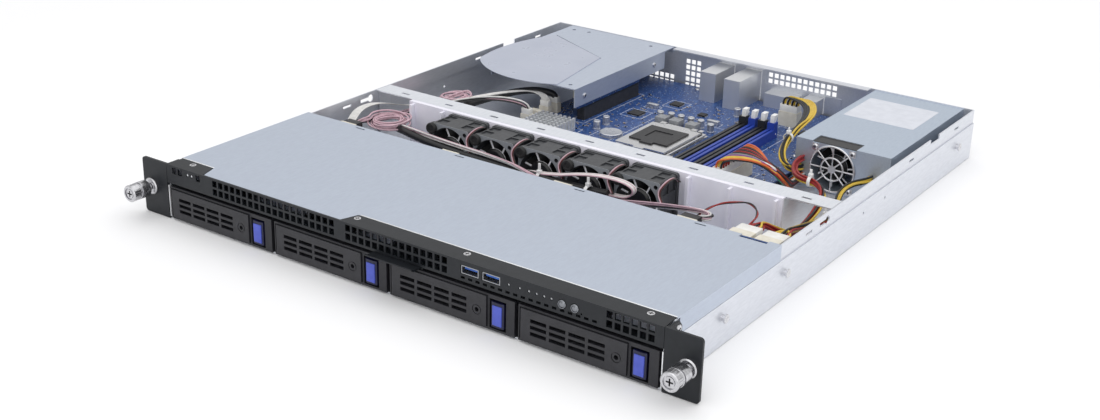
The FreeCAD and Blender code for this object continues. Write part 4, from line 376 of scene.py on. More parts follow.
head_face = -21.6
head_rings = (
    (head_face, 3.4), (head_face, 3.5), (-21, 3.6), (-21, 4.4),
    (-22, 4.5), (-22, 5.9), (-21.4, 6.5), (-20.8, 6.5),
)
grip_rings = ((-20.6, 6.2), (-15.2, 6.2), (-15, 6.5))
neck_rings = (
    (-14.6, 6.5), (-14.6, 5.7), (-13.4, 5.7), (-13.4, 6.5), (-6.5, 6.5), (-5.5, 5.5), (-5.5, 2.5),
)
shank_rings = ((2.24, 2.5), (2.24, 1.9), (3.26, 1.9), (3.26, 2.5), (8.2, 2.5), (9, 1.7))
knob_rings = head_rings + grip_rings + neck_rings + shank_rings
grip_front, grip_rear = -20, -15.5
for side in ("left", "right"):
    low, high = span(f"{side}_thumbscrew")
    axis_x, axis_z = (low.x + high.x) / 2, (low.z + high.z) / 2
    knob = turned(f"{side}_knob", (axis_x, 0, axis_z), "Y", knob_rings, 48)
    grip = [
        face for face in knob.data.polygons
        if grip_front * mm < face.center.y < grip_rear * mm and abs(face.normal.y) < 0.1
    ]
    ridges = {face.index for face in grip[::2]}
    pick(knob, lambda face: face.index in ridges)
    bpy.ops.mesh.inset(thickness=0.12 * mm, depth=0.28 * mm, use_individual=True)
    bpy.ops.object.mode_set(mode="OBJECT")
    cut_away(knob, bright_plate, cross_tool((axis_x, head_face, axis_z), "Y", 2.5, 1.1, 1.6))
    settle(knob, bright_plate, f"{side}_thumbscrew")
    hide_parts(f"{side}_thumbscrew")


# Screws, studs and standoffs
# Plated screws with crossed recesses, six-sided standoffs, rail studs and the ears' bushes.

screw_zinc = new_finish("screw_zinc", (0.68, 0.68, 0.70), 1.0, 0.26)
patchy_gloss(screw_zinc, noise(screw_zinc, 500, 2), 0.22, 0.34)


def screws(name, head, axis, facing, places):
    """Copies of one cross-recessed head; its rings run from the seat outwards."""
    first = turned(name, (0, 0, 0), axis, [(facing * high, wide) for high, wide in head], 20)
    top = Vector((0, 0, 0))
    top["XYZ".index(axis)] = facing * head[-1][0]
    cut_away(first, screw_zinc, cross_tool(top, axis, head[-1][1] * 0.75, 0.7, 0.55))
    return settle(gather(name, repeated(first, name, places)), screw_zinc)


countersunk_head = ((-5.7, 1.3), (-0.7, 1.3), (-0.7, 1.7), (-0.1, 2.6), (0, 2.5))
lip_places = [(x, 10.7, panel_high.z) for x in (-198, -36, 59, 199)]
lip_screws = screws("lip_screws", countersunk_head, "Z", 1, lip_places)
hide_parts("fasteners")

board_low, board_high = span("motherboard")
board_top = board_high.z
board_holes = ((12, 10), (122, 10), (232, 10), (12, 132), (232, 132), (12, 236), (78, 236), (232, 236))
board_fixings = [(board_low.x + x, board_low.y + y) for x, y in board_holes]
pan_head = ((0, 3), (0.9, 2.9), (1.4, 2.3), (1.6, 1.6))
screws("board_screws", pan_head, "Z", 1, [(x, y, board_top) for x, y in board_fixings])

ear_head = ((0, 2.8), (0.7, 2.7), (1.1, 2.1), (1.2, 1.5))
ear_face = pan_high.x + 2.3
ear_holes = ((12.5, 9), (12.5, 38))
screws("right_ear_screws", ear_head, "X", 1, [(ear_face, y, z) for y, z in ear_holes])
screws("left_ear_screws", ear_head, "X", -1, [(-ear_face, y, z) for y, z in ear_holes])

small_head = ((0, 2.4), (0.7, 2.3), (1.2, 1.6))
screws("riser_screws", small_head, "X", 1, [(-81, y, 33.2) for y in (356, 472.5)])
psu_fan_x, fan_middle, fan_corner = 157, 21.5, 16
guard_face = 355.2
guard_places = [
    (psu_fan_x + side * fan_corner, guard_face, fan_middle + rise * fan_corner)
    for side in (-1, 1) for rise in (-1, 1)
]
screws("guard_screws", small_head, "Y", -1, guard_places)

standoff = turned("standoff", (0, 0, 1), "Z", ((0, 3), (0.3, 3.2), (6.4, 3.2), (7, 3)), 6)
posts = repeated(standoff, "standoff", [(x, y, 0) for x, y in board_fixings])
settle(gather("standoffs", posts), screw_zinc)

stud_rings = ((0, 2.2), (2.2, 2.2), (2.2, 3.2), (3.1, 3.2), (3.4, 2.9), (3.4, 1.4), (3.1, 1.2))
stud_level = 20.4
studs = []
for side in (-1, 1):
    stud = turned("rail_stud", (0, 0, 0), "X", [(side * reach, wide) for reach, wide in stud_rings], 20)
    studs += repeated(stud, "rail_stud", [(side * pan_high.x, y, stud_level) for y in (73, 159, 473)])
settle(gather("rail_studs", studs), screw_zinc)


def bored(piece):
    """Opens a turned form whose last ring meets its first: the end discs go and the rims join."""
    pick(piece, lambda face: len(face.vertices) > 4)
    bpy.ops.mesh.delete(type="ONLY_FACE")
    bpy.ops.mesh.select_all(action="SELECT")
    bpy.ops.mesh.remove_doubles(threshold=0.01 * mm)
    bpy.ops.mesh.normals_make_consistent(inside=False)
    bpy.ops.object.mode_set(mode="OBJECT")
    return piece


bush_rings = (
    (2, 2.6), (2, 4.3), (0, 4.3), (0, 6.5), (-1.2, 6.5), (-2, 5.7), (-2, 3.4), (-1.7, 2.6), (2, 2.6),
)
rack_hole, rack_level = 232.55, 21.75
bushes = [bored(turned("bush", (x, 0, rack_level), "Y", bush_rings, 36)) for x in (-rack_hole, rack_hole)]
settle(gather("ear_bushes", bushes), bright_plate)


# Buttons and front ports
# Dished metal caps, and two bright port shells with blue tongues and gold contacts.

def press_in(piece, facing, rim, depth):
    """Insets the face that looks one way and pushes it in."""
    facing = Vector(facing)
    pick(piece, lambda face: face.normal.dot(facing) > 0.9)
    bpy.ops.mesh.inset(thickness=rim * mm)
    bpy.ops.mesh.extrude_region_move(TRANSFORM_OT_translate={"value": -facing * depth * mm})
    bpy.ops.object.mode_set(mode="OBJECT")
    return piece


button_grey = new_finish("button_grey", (0.24, 0.25, 0.27), 1.0, 0.2)
patchy_gloss(button_grey, noise(button_grey, 600, 2), 0.16, 0.24)
cap_rings = (
    (2.5, 4), (1.5, 4), (1.5, 3), (-0.3, 3), (-0.7, 2.7), (-0.7, 2.3), (-0.3, 2.2),
    (-0.5, 2.0), (-0.9, 1.3), (-1, 0.5),
)
for name in ("power_button", "id_button"):
    low, high = span(name)
    foot = ((low.x + high.x) / 2, 0, (low.z + high.z) / 2)
    cap = turned(f"{name}_cap", foot, "Y", cap_rings, 32)
    settle(cap, button_grey, name)
    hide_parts(name)
shell_steel = new_finish("shell_steel", (0.36, 0.37, 0.39), 0.9, 0.3)
patchy_gloss(shell_steel, noise(shell_steel, 300, 2), 0.26, 0.38)
dress(shell_steel, "front_io_module")
port_blue = new_finish("port_blue", (0.02, 0.10, 0.42), 0.0, 0.4)
tint(port_blue, noise(port_blue, 300, 2), (0.015, 0.08, 0.36), (0.03, 0.13, 0.48))
contact_gold = new_finish("contact_gold", (0.80, 0.55, 0.20), 1.0, 0.25)
patchy_gloss(contact_gold, noise(contact_gold, 700, 2), 0.2, 0.34)
tongue_half, tongue_foot, tongue_top = 5.2, 37.3, 39.2
contact_half, contact_foot, contact_top = 0.4, 37.15, 37.35
tongues, contacts = [], []
for x in (69.2, 86.4):
    tongue = boxed("port_tongue", (x - tongue_half, 1.8, tongue_foot), (x + tongue_half, 13, tongue_top))
    tongues.append(soften(tongue, 0.25))
    for middle in (x - 3, x - 1, x + 1, x + 3):
        contact_low = (middle - contact_half, 2.2, contact_foot)
        contact = boxed("port_contact", contact_low, (middle + contact_half, 10, contact_top))
        contacts.append(soften(contact, 0.05, 1))
settle(gather("port_tongues", tongues), port_blue)
settle(gather("port_contacts", contacts), contact_gold)


# Fans
# Dark moulded frames with black rotors; a paler band on the frames' front faces is painted light, and the
# bright leading edges of the blades are painted highlights.
# A rubber plug in one front corner of each keeps it from rattling.

def painted_front_light(name, base, front, plane, reach):
    """Moulded plastic with painted light in one plane: a lighter flange face where the front light falls, or
    painted highlights on the blades' front edges.
    """
    made = new_finish(name, base, 0.0, 0.4)
    tree = made.node_tree
    place = tree.nodes.new("ShaderNodeTexCoord")
    split = tree.nodes.new("ShaderNodeSeparateXYZ")
    near = tree.nodes.new("ShaderNodeMath")
    near.operation = "COMPARE"
    near.inputs[1].default_value = plane * mm
    near.inputs[2].default_value = reach * mm
    tree.links.new(place.outputs["Object"], split.inputs["Vector"])
    tree.links.new(split.outputs["Y"], near.inputs[0])
    tint(made, near.outputs["Value"], base, front, 0.4, 0.6)
    patchy_gloss(made, noise(made, 300, 2), 0.36, 0.46)
    grain(made, noise(made, 1400, 2), 0.2)
    return made


frames_low = span("fan_frames")[0]
fan_front, blade_inset = frames_low.y, 4
blade_black, painted_blade_glint = (0.010, 0.010, 0.011), (0.85, 0.85, 0.88)
# The frames' paler front face is painted light, where the front lamp falls on it.
fan_grey = painted_front_light("fan_grey", (0.040, 0.042, 0.047), (0.240, 0.255, 0.275), fan_front, 0.3)
dress(fan_grey, "fan_frames")
# The rotors' bright blade edges are painted highlights.
rotor_black = painted_front_light("rotor_black", blade_black, painted_blade_glint, fan_front + blade_inset, 0.4)
dress(rotor_black, *[f"fan_rotor_{i}" for i in range(1, 6)])
rubber = new_finish("rubber", (0.012, 0.012, 0.013), 0.0, 0.7)
tint(rubber, noise(rubber, 500, 3), (0.009, 0.009, 0.010), (0.017, 0.017, 0.018))
grain(rubber, noise(rubber, 2500, 2), 0.3)
fan_first, fan_pitch = frames_low.x + 20, 44.7
plug_rings = ((0, 3.6), (-0.8, 4.6), (-3.4, 4.6), (-4.2, 4.1), (-4.2, 2.6), (-3.6, 2.2))
plug_foot = (fan_first - fan_corner, fan_front, fan_middle + fan_corner)
plug = turned("plug", plug_foot, "Y", plug_rings, 28)
plugs = [copy_to(plug, f"rubber_plug_{i + 1}", (fan_pitch * i, 0, 0)) for i in range(5)]
bpy.data.objects.remove(plug)
for piece in plugs:
    settle(piece, rubber)


# Fan shroud
# A white moulded wall with ribs, under the bar's front edge.

shroud_white = new_finish("shroud_white", (0.82, 0.81, 0.90), 0.0, 0.5)
tint(shroud_white, noise(shroud_white, 60, 3), (0.80, 0.79, 0.88), (0.85, 0.84, 0.92))
grain(shroud_white, noise(shroud_white, 1200, 2), 0.12)
dress(shroud_white, "fan_shroud")


# Circuit boards
# Glass-fibre boards under blue solder mask, with fine copper runs and silvery pads.

def board_mask(name, mask, run, pad):
    """Solder mask with a net of lighter runs and small bright pads."""
    made = new_finish(name, mask, 0.0, 0.32)
    tree = made.node_tree
    place = tree.nodes.new("ShaderNodeTexCoord")
    net = tree.nodes.new("ShaderNodeTexVoronoi")
    net.feature = "DISTANCE_TO_EDGE"
    net.distance = "MANHATTAN"
    net.inputs["Scale"].default_value = 210
    dots = tree.nodes.new("ShaderNodeTexVoronoi")
    dots.inputs["Scale"].default_value = 330
    for texture in (net, dots):
        tree.links.new(place.outputs["Object"], texture.inputs["Vector"])
    runs = tree.nodes.new("ShaderNodeValToRGB")
    runs.color_ramp.elements[0].position = 0.03
    runs.color_ramp.elements[0].color = (*run, 1)
    runs.color_ramp.elements[1].position = 0.07
    runs.color_ramp.elements[1].color = (*mask, 1)
    tree.links.new(net.outputs["Distance"], runs.inputs["Fac"])
    spots = tree.nodes.new("ShaderNodeMath")
    spots.operation = "LESS_THAN"
    spots.inputs[1].default_value = 0.16
    tree.links.new(dots.outputs["Distance"], spots.inputs[0])
    mix = tree.nodes.new("ShaderNodeMixRGB")
    mix.inputs["Color2"].default_value = (*pad, 1)
    tree.links.new(spots.outputs["Value"], mix.inputs["Fac"])
    tree.links.new(runs.outputs["Color"], mix.inputs["Color1"])
    tree.links.new(mix.outputs["Color"], tree.nodes["Principled BSDF"].inputs["Base Color"])
    grain(made, noise(made, 900, 4), 0.15)
    return made


board_blue = board_mask("board_blue", (0.016, 0.052, 0.19), (0.035, 0.11, 0.33), (0.50, 0.54, 0.62))
dress(board_blue, "motherboard", "riser_card", "backplane")


# Board parts
# Chokes, capacitors, chips, crystals and a coin cell, inside plain printed frames.
# Small chip resistors fill the free places between them.

choke_grey = new_finish("choke_grey", (0.30, 0.31, 0.33), 0.3, 0.45)
tint(choke_grey, noise(choke_grey, 500, 3), (0.26, 0.27, 0.29), (0.34, 0.35, 0.37))
choke_half, choke_tall, choke_y = 5, 7, 393.8
chokes = []
for x in (-23, -9, 7.5):
    choke_low = (x - choke_half, choke_y - choke_half, board_top)
    block = boxed("choke", choke_low, (x + choke_half, choke_y + choke_half, board_top + choke_tall))
    chokes.append(soften(press_in(block, (0, 0, 1), 1.2, 0.5), 0.3))
choke_set = settle(gather("chokes", chokes), choke_grey)
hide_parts("board_components")

can_silver = new_finish("can_silver", (0.62, 0.63, 0.66), 0.9, 0.3)
patchy_gloss(can_silver, noise(can_silver, 300, 2), 0.25, 0.36)
can_rings = ((0, 3.2), (1.2, 3.2), (1.5, 2.8), (1.8, 2.8), (2.1, 3.1), (7.5, 3.1), (8, 2.7), (7.9, 2.4))
can = turned("can", (0, 0, board_top), "Z", can_rings, 20)
can_places = [
    (-20, 404), (-10, 404), (0, 404), (10, 404), (22, 400),
    (-30, 402), (-60, 345), (-60, 360), (30, 450), (20, 452),
]
cans = repeated(can, "can", [(x, y, 0) for x, y in can_places])
settle(gather("capacitors", cans), can_silver)

chip_black = new_finish("chip_black", (0.018, 0.018, 0.020), 0.0, 0.5)
tint(chip_black, noise(chip_black, 400, 3), (0.015, 0.015, 0.017), (0.024, 0.024, 0.026))
solder = new_finish("solder", (0.70, 0.70, 0.72), 1.0, 0.3)
patchy_gloss(solder, noise(solder, 900, 2), 0.25, 0.4)
bodies, legs = [], []
leg_pitch, leg_half, leg_long, leg_top = 1.3, 0.25, 1.2, board_top + 0.5
chip_places = ((-62, 395, 14), (-45, 440, 12), (-60, 300, 14), (84, 440, 14), (-10, 430, 9))
for x, y, side in chip_places:
    right, rear = x + side, y + side
    body = boxed("chip", (x + 1, y + 1, board_top + 0.2), (right - 1, rear - 1, board_top + 1.6))
    bodies.append(soften(press_in(body, (0, 0, 1), 0.5, 0.1), 0.15, 1))
    for step in range(int((side - 4) / leg_pitch) + 1):
        near, far = 2 + step * leg_pitch - leg_half, 2 + step * leg_pitch + leg_half
        for low, high in (
            ((x + near, y), (x + far, y + leg_long)), ((x + near, rear - leg_long), (x + far, rear)),
            ((x, y + near), (x + leg_long, y + far)), ((right - leg_long, y + near), (right, y + far)),
        ):
            legs.append(boxed("leg", (*low, board_top), (*high, leg_top)))
settle(gather("chips", bodies), chip_black)
settle(soften(gather("chip_legs", legs), 0.1, 1), solder)

cell_rings = ((0, 10.4), (0.8, 10.4), (0.8, 9.6), (1.2, 9.9), (3, 9.9), (3.4, 9.3), (3.3, 8.4))
settle(turned("coin_cell", (-42, 340, board_top), "Z", cell_rings, 40), can_silver)

# The left, front, right and rear of each place that is taken.
busy = [
    (38, 280, 76, 430), (-32, 310, 33, 410), (-111, 293, -70, 334), (-90, 354, -79, 450),
    (85, 279, 101, 337), (-124, 312, -108, 368), (-54, 328, -30, 352), (-66, 392, -46, 412),
    (-50, 436, -30, 456), (-64, 296, -44, 316), (80, 436, 100, 456), (-14, 426, 2, 442),
    (-72, 266, -54, 284), (54, 452, 80, 470), (14, 444, 36, 458), (-66, 340, -54, 366),
]
busy += [(x - 5, y - 5, x + 5, y + 5) for x, y in board_fixings]
resistor_count, resistor_room = 260, 2.2
resistor_sizes = ((1.6, 0.8), (0.8, 1.6), (1.6, 0.8), (2.4, 1.6))
resistor_top, end_top = board_top + 0.6, board_top + 0.7
end_half, end_rim = 0.25, 0.05
shuffle = random.Random(7)
chip_parts, chip_ends = [], []
while len(chip_parts) < resistor_count:
    x, y = shuffle.uniform(-120, 116), shuffle.uniform(264, 460)
    if any(left < x < right and front < y < rear for left, front, right, rear in busy):
        continue
    busy.append((x - resistor_room, y - resistor_room, x + resistor_room, y + resistor_room))
    long_x, long_y = shuffle.choice(resistor_sizes)
    half_x, half_y = long_x / 2, long_y / 2
    low = (x - half_x, y - half_y, board_top)
    chip_parts.append(boxed("resistor", low, (x + half_x, y + half_y, resistor_top)))
    for end in (-1, 1):
        if long_x > long_y:
            middle, half = (x + end * half_x, y), (end_half, half_y + end_rim)
        else:
            middle, half = (x, y + end * half_y), (half_x + end_rim, end_half)
        end_low = (middle[0] - half[0], middle[1] - half[1], board_top)
        chip_ends.append(boxed("resistor_end", end_low, (middle[0] + half[0], middle[1] + half[1], end_top)))
resistor_brown = new_finish("resistor_brown", (0.10, 0.07, 0.05), 0.0, 0.5)
tint(resistor_brown, noise(resistor_brown, 90, 2), (0.02, 0.02, 0.02), (0.30, 0.22, 0.14), 0.45, 0.55)
settle(soften(gather("chip_resistors", chip_parts), 0.1, 1), resistor_brown)
settle(soften(gather("resistor_ends", chip_ends), 0.08, 1), solder)

crystal_places = ((-24, 292, 11, 4.6), (-96, 400, 4.6, 11), (8, 418, 11, 4.6), (-58, 424, 11, 4.6))
crystals = []
for x, y, long_x, long_y in crystal_places:
    shell = boxed("crystal", (x, y, board_top), (x + long_x, y + long_y, board_top + 3.6))
    crystals.append(soften(press_in(shell, (0, 0, 1), 1.1, -0.3), 0.9, 3))
settle(gather("crystal_cans", crystals), can_silver)

mark_white = new_finish("mark_white", (0.74, 0.76, 0.80), 0.0, 0.6)
tint(mark_white, noise(mark_white, 700, 2), (0.62, 0.65, 0.72), (0.80, 0.82, 0.86))
mark_wide, mark_top = 0.45, board_top + 0.06
# The left, front, right and rear of each printed frame.
framed = [
    (-36, 305, 37, 414), (37, 276, 80, 432), (-92, 350, -77, 452), (83, 277, 103, 338),
    (-113, 291, -68, 336), (-56, 326, -28, 354), (-66, 391, -44, 413), (-49, 436, -29, 456),
    (-64, 296, -42, 318), (80, 436, 102, 458), (-26, 290, -11, 299), (6, 416, 21, 425),
    (-60, 422, -45, 431), (-98, 398, -90, 413), (55, 453, 79, 469),
]
marks = []
for left, front, right, rear in framed:
    for low, high in (
        ((left, front), (right, front + mark_wide)), ((left, rear - mark_wide), (right, rear)),
        ((left, front), (left + mark_wide, rear)), ((right - mark_wide, front), (right, rear)),
    ):
        marks.append(boxed("mark", (*low, board_top), (*high, mark_top)))
settle(soften(gather("printed_frames", marks), 0.02, 1), mark_white)


# Sockets and slots
# Moulded connectors, memory slots in two colours with white latches, and the processor's steel frame.

part_black = new_finish("part_black", (0.02, 0.02, 0.022), 0.0, 0.45)
tint(part_black, noise(part_black, 300, 2), (0.016, 0.016, 0.018), (0.026, 0.026, 0.028))
dress(part_black, "pcie_slot", "socket_cap", "psu_inlet")


def banded(name, first, second, start, pitch):
    """Two colours in turn along X, one for each slot."""
    made = new_finish(name, first, 0.0, 0.4)
    tree = made.node_tree
    place = tree.nodes.new("ShaderNodeTexCoord")
    split = tree.nodes.new("ShaderNodeSeparateXYZ")
    tree.links.new(place.outputs["Object"], split.inputs["Vector"])
    value = split.outputs["X"]
    steps = (("SUBTRACT", start), ("DIVIDE", 2 * pitch), ("FRACT", 0), ("GREATER_THAN", 0.5))
    for operation, number in steps:
        step = tree.nodes.new("ShaderNodeMath")
        step.operation = operation
        step.inputs[1].default_value = number
        tree.links.new(value, step.inputs[0])
        value = step.outputs["Value"]
    tint(made, value, first, second, 0.4, 0.6)
    patchy_gloss(made, noise(made, 250, 2), 0.35, 0.48)
    return made


slot_start, slot_pitch = 37.9, 9.2
slot_black, slot_blue = (0.016, 0.017, 0.022), (0.02, 0.055, 0.36)
slot_colours = banded("slot_colours", slot_black, slot_blue, slot_start * mm, slot_pitch * mm)
dress(slot_colours, "dimm_slots")
latch_white = new_finish("latch_white", (0.82, 0.82, 0.82), 0.0, 0.45)
tint(latch_white, noise(latch_white, 200, 2), (0.78, 0.78, 0.78), (0.86, 0.86, 0.85))
dress(latch_white, *[f"dimm_latch_{i}" for i in range(1, 5)])
socket_cream = new_finish("socket_cream", (0.72, 0.68, 0.58), 0.0, 0.5)
tint(socket_cream, noise(socket_cream, 200, 2), (0.68, 0.64, 0.54), (0.76, 0.72, 0.62))
dress(socket_cream, "board_sockets")
pin_aluminium = new_finish("pin_aluminium", (0.72, 0.73, 0.75), 0.6, 0.45)
tint(pin_aluminium, noise(pin_aluminium, 200, 3), (0.66, 0.68, 0.70), (0.76, 0.77, 0.79))
dress(pin_aluminium, "chipset_heatsink")
socket_steel = new_finish("socket_steel", (0.70, 0.70, 0.71), 1.0, 0.3)
patchy_gloss(socket_steel, noise(socket_steel, 200, 2), 0.25, 0.36)
dress(socket_steel, "cpu_socket", "cpu_load_plate", "cpu_load_lever")


# Rear ports
# Tinned port shells with black tongues, sprung contacts and a blue video insert with its pin holes.

port_tin = new_finish("port_tin", (0.74, 0.75, 0.77), 0.8, 0.36)
patchy_gloss(port_tin, noise(port_tin, 600, 2, (1, 1, 0.05)), 0.34, 0.4)
dress(port_tin, "rear_port_blocks")
port_rear = 510.6
port_wide, port_room = 13, 1.2
rear_tongues, springs = [], []
for left, levels in ((-29.5, (12, 19.5)), (-1.5, (12, 19.5)), (63, (11.2, 18))):
    for foot in levels:
        tongue_low = (left + port_room, port_rear - 11.5, foot + 2.6)
        tongue_high = (left + port_wide - port_room, port_rear - port_room, foot + 4.4)
        rear_tongues.append(soften(boxed("rear_tongue", tongue_low, tongue_high), 0.2))
spring_pitch, spring_half = 1.02, 0.2
for first_spring in (-26.6, 1.4):
    for step in range(8):
        x = first_spring + step * spring_pitch
        spring_high = (x + spring_half, port_rear - 2, 34.2)
        springs.append(soften(boxed("spring", (x - spring_half, port_rear - 9, 33.8), spring_high), 0.08, 1))
settle(gather("rear_tongues", rear_tongues), part_black)
settle(gather("network_contacts", springs), contact_gold)
insert = boxed("video_insert", (33, port_rear + 0.7, 12.6), (46, port_rear + 4.2, 19.1))
settle(soften(press_in(insert, (0, 1, 0), 0.8, 0.3), 0.3), port_blue)
hole_rings = ((0, 0.6), (0.12, 0.55), (0.12, 0.35), (0.02, 0.3))
hole_pitch, row_shift = 2.1, 0.5
holes = []
for row, z in enumerate((13.7, 15.85, 18)):
    for step in range(5):
        spot = (35.2 + step * hole_pitch + row_shift * (row % 2), port_rear + 3.9, z)
        holes.append(turned("pin_hole", spot, "Y", hole_rings, 10))
settle(gather("video_pin_holes", holes), part_black)


# Riser
# A folded roof over the expansion card, and a thin film tucked in its slit.

riser_zinc = zinc_sheet("riser_zinc", (0.53, 0.58, 0.68), (0.56, 0.61, 0.71))
dress(riser_zinc, "riser_bracket")
film_white = new_finish("film_white", (0.41, 0.44, 0.53), 0.0, 0.3)
tint(film_white, noise(film_white, 25, 2), (0.395, 0.425, 0.515), (0.42, 0.45, 0.54))
patchy_gloss(film_white, noise(film_white, 60, 2), 0.26, 0.36)
dress(film_white, "air_guide")


# Power supply
# A plated case with its own fan behind a wire guard, and a bare plate on its top.

psu_zinc = zinc_sheet("psu_zinc", (0.49, 0.56, 0.66), (0.52, 0.59, 0.69))
dress(psu_zinc, "psu_case")
guard_wire = new_finish("guard_wire", (0.72, 0.72, 0.74), 0.9, 0.3)
patchy_gloss(guard_wire, noise(guard_wire, 300, 2), 0.25, 0.36)
dress(guard_wire, "psu_fan_guard")
case_low, case_high = span("psu_case")
psu_fan_front = case_low.y + 2
# The supply fan's bright blade edges are painted highlights.
supply_black = painted_front_light("supply_black", blade_black, painted_blade_glint, psu_fan_front + blade_inset, 0.4)
dress(supply_black, "psu_fan_rotor")
housing = boxed("supply_fan_top", (138.4, 356.5, 40.95), (175.6, 370.6, 41.4))
settle(soften(press_in(housing, (0, 0, 1), 1.6, 0.25), 0.08, 1), part_black)
paper_white = new_finish("paper_white", (0.64, 0.66, 0.72), 0.0, 0.5)
tint(paper_white, noise(paper_white, 120, 3), (0.61, 0.63, 0.69), (0.66, 0.68, 0.74))
plate = boxed("bare_plate", (130, 430, case_high.z), (192, 486, case_high.z + 0.15))
settle(soften(press_in(plate, (0, 0, 1), 1.2, 0.03), 0.06, 1), paper_white)


# Plugs
# Moulded cable ends on the sockets of the boards, each with a rim round its wires.

plug_white = new_finish("plug_white", (0.78, 0.77, 0.74), 0.0, 0.42)
tint(plug_white, noise(plug_white, 200, 2), (0.74, 0.73, 0.70), (0.82, 0.81, 0.78))


def cable_end(name, low, high, facing, made):
    """A plug between two corners, hollowed on the side where its wires come out."""
    block = boxed(name, low, high)
    return settle(soften(press_in(block, facing, 0.8, 1.2), 0.3), made)


cable_end("main_plug", (88.6, 282.6, 22.6), (97.4, 333.4, 29), (0, 0, 1), plug_white)
cable_end("processor_plug", (58.6, 456.6, 22.6), (75.4, 465.4, 29), (0, 0, 1), plug_white)
for i, x in enumerate((166, 187), start=1):
    low, high = (x + 0.6, 174.6, 27), (x + 17.4, 186, 35)
    cable_end(f"drive_plug_{i}", low, high, (0, 1, 0), plug_white)
for i, y in enumerate((316, 344, 358), start=1):
    low, high = (-120.4, y + 0.4, 18.6), (-111.6, y + 5.6, 24)
    cable_end(f"header_plug_{i}", low, high, (0, 0, 1), plug_white)
for name, left in (("data_plug", -197.5), ("fan_plug", 123.5)):
    cable_end(name, (left, 172.6, 28.2), (left + 14, 181, 33.8), (0, 1, 0), part_black)


# Wires
# Insulated copper wires between the boards and the supply, each bundle fanned out at its plug.
# They are stiff enough to keep the arcs that they were bent to.

insulation_colours = {
    "black": (0.015, 0.015, 0.017), "red": (0.32, 0.015, 0.013), "orange": (0.66, 0.13, 0.02),
    "yellow": (0.70, 0.48, 0.05), "white": (0.75, 0.74, 0.72), "grey": (0.25, 0.25, 0.26),
    "purple": (0.20, 0.04, 0.30), "green": (0.02, 0.25, 0.12), "blue": (0.05, 0.16, 0.45),
    "pink": (0.63, 0.43, 0.49), "maroon": (0.12, 0.022, 0.022),
}
insulation = {}
for colour, shade in insulation_colours.items():
    made = new_finish(f"{colour}_insulation", shade, 0.0, 0.42)
    tint(made, noise(made, 250, 2), tuple(0.85 * part for part in shade), shade)
    patchy_gloss(made, noise(made, 600, 2), 0.36, 0.5)
    insulation[colour] = made


def run_wires(name, colour, radius, routes):
    """One piece of all the wires of a colour, each a smooth line through its route."""
    curve = bpy.data.curves.new(name, "CURVE")
    curve.dimensions = "3D"
    curve.bevel_depth = radius * mm
    curve.bevel_resolution = 2
    curve.resolution_u = 8
    curve.use_fill_caps = True
    for route in routes:
        line = curve.splines.new("NURBS")
        line.points.add(len(route) - 1)
        for point, (x, y, z) in zip(line.points, route):
            point.co = (x * mm, y * mm, z * mm, 1)
        line.order_u = 3
        line.use_endpoint_u = True
    piece = bpy.data.objects.new(name, curve)
    bpy.context.collection.objects.link(piece)
    return settle(piece, insulation[colour])


def beside(route, index, count, spread, wind=0.45):
    """A wire's route beside the middle line of its bundle, winding slowly round it."""
    reach = spread * math.sqrt((index + 0.5) / count)
    made = []
    for step, (x, y, z) in enumerate(route):
        angle = 2.4 * index + wind * step
        sway = 0.4 * reach * math.sin(2 * angle)
        made.append((x + reach * math.cos(angle), y + sway, z + reach * math.sin(angle)))
    return made


power_radius, pin_pitch = 0.9, 4.2
first_row = "orange yellow yellow purple grey black red black red black orange orange".split()
second_row = "black red red red white black black black green black blue orange".split()
main_line = [(131, 355.6, 10), (131, 341, 10), (137, 321, 14), (140.5, 305, 23), (134, 298.5, 32)]
row_middle = 308
main_routes = {}
for row, colours in enumerate((first_row, second_row)):
    for place, colour in enumerate(colours):
        pin_x, pin_y = 90.9 + pin_pitch * row, 284.9 + pin_pitch * place
        lean = pin_y - row_middle
        start = beside(main_line, 12 * row + place, 24, 3.5, 0.25)
        end = [
            (119, 304 + 0.3 * lean, 36.6 - 0.8 * row), (106, 307 + 0.7 * lean, 37.4 - 0.8 * row),
            (pin_x + 3, pin_y, 35.4), (pin_x, pin_y, 32), (pin_x, pin_y, 28),
        ]
        main_routes.setdefault(colour, []).append(start + end)
for colour, routes in main_routes.items():
    wires = run_wires(f"main_power_{colour}", colour, power_radius, routes)
    if colour == "orange":
        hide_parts("wire_harness")

processor_line = [(130.5, 355.6, 17.5), (130.5, 347, 17.5), (121, 341, 21), (112, 355, 29), (106, 390, 34)]
processor_routes = {"yellow": [], "black": []}
for index in range(8):
    column, row = index % 4, index // 4
    pin = (60.7 + pin_pitch * column, 459 + pin_pitch * row)
    fan_out = 1.5 * index
    strand = beside(processor_line, index, 8, 2.7)
    strand += [(98 + fan_out, 422, 34.5 + 0.4 * index), (87 + fan_out, 447, 36 + 0.3 * index)]
    strand += [(pin[0] + 4 + 0.5 * fan_out, pin[1], 36), (*pin, 33), (*pin, 28)]
    processor_routes["yellow" if row else "black"].append(strand)
for colour, routes in processor_routes.items():
    run_wires(f"processor_power_{colour}", colour, power_radius, routes)

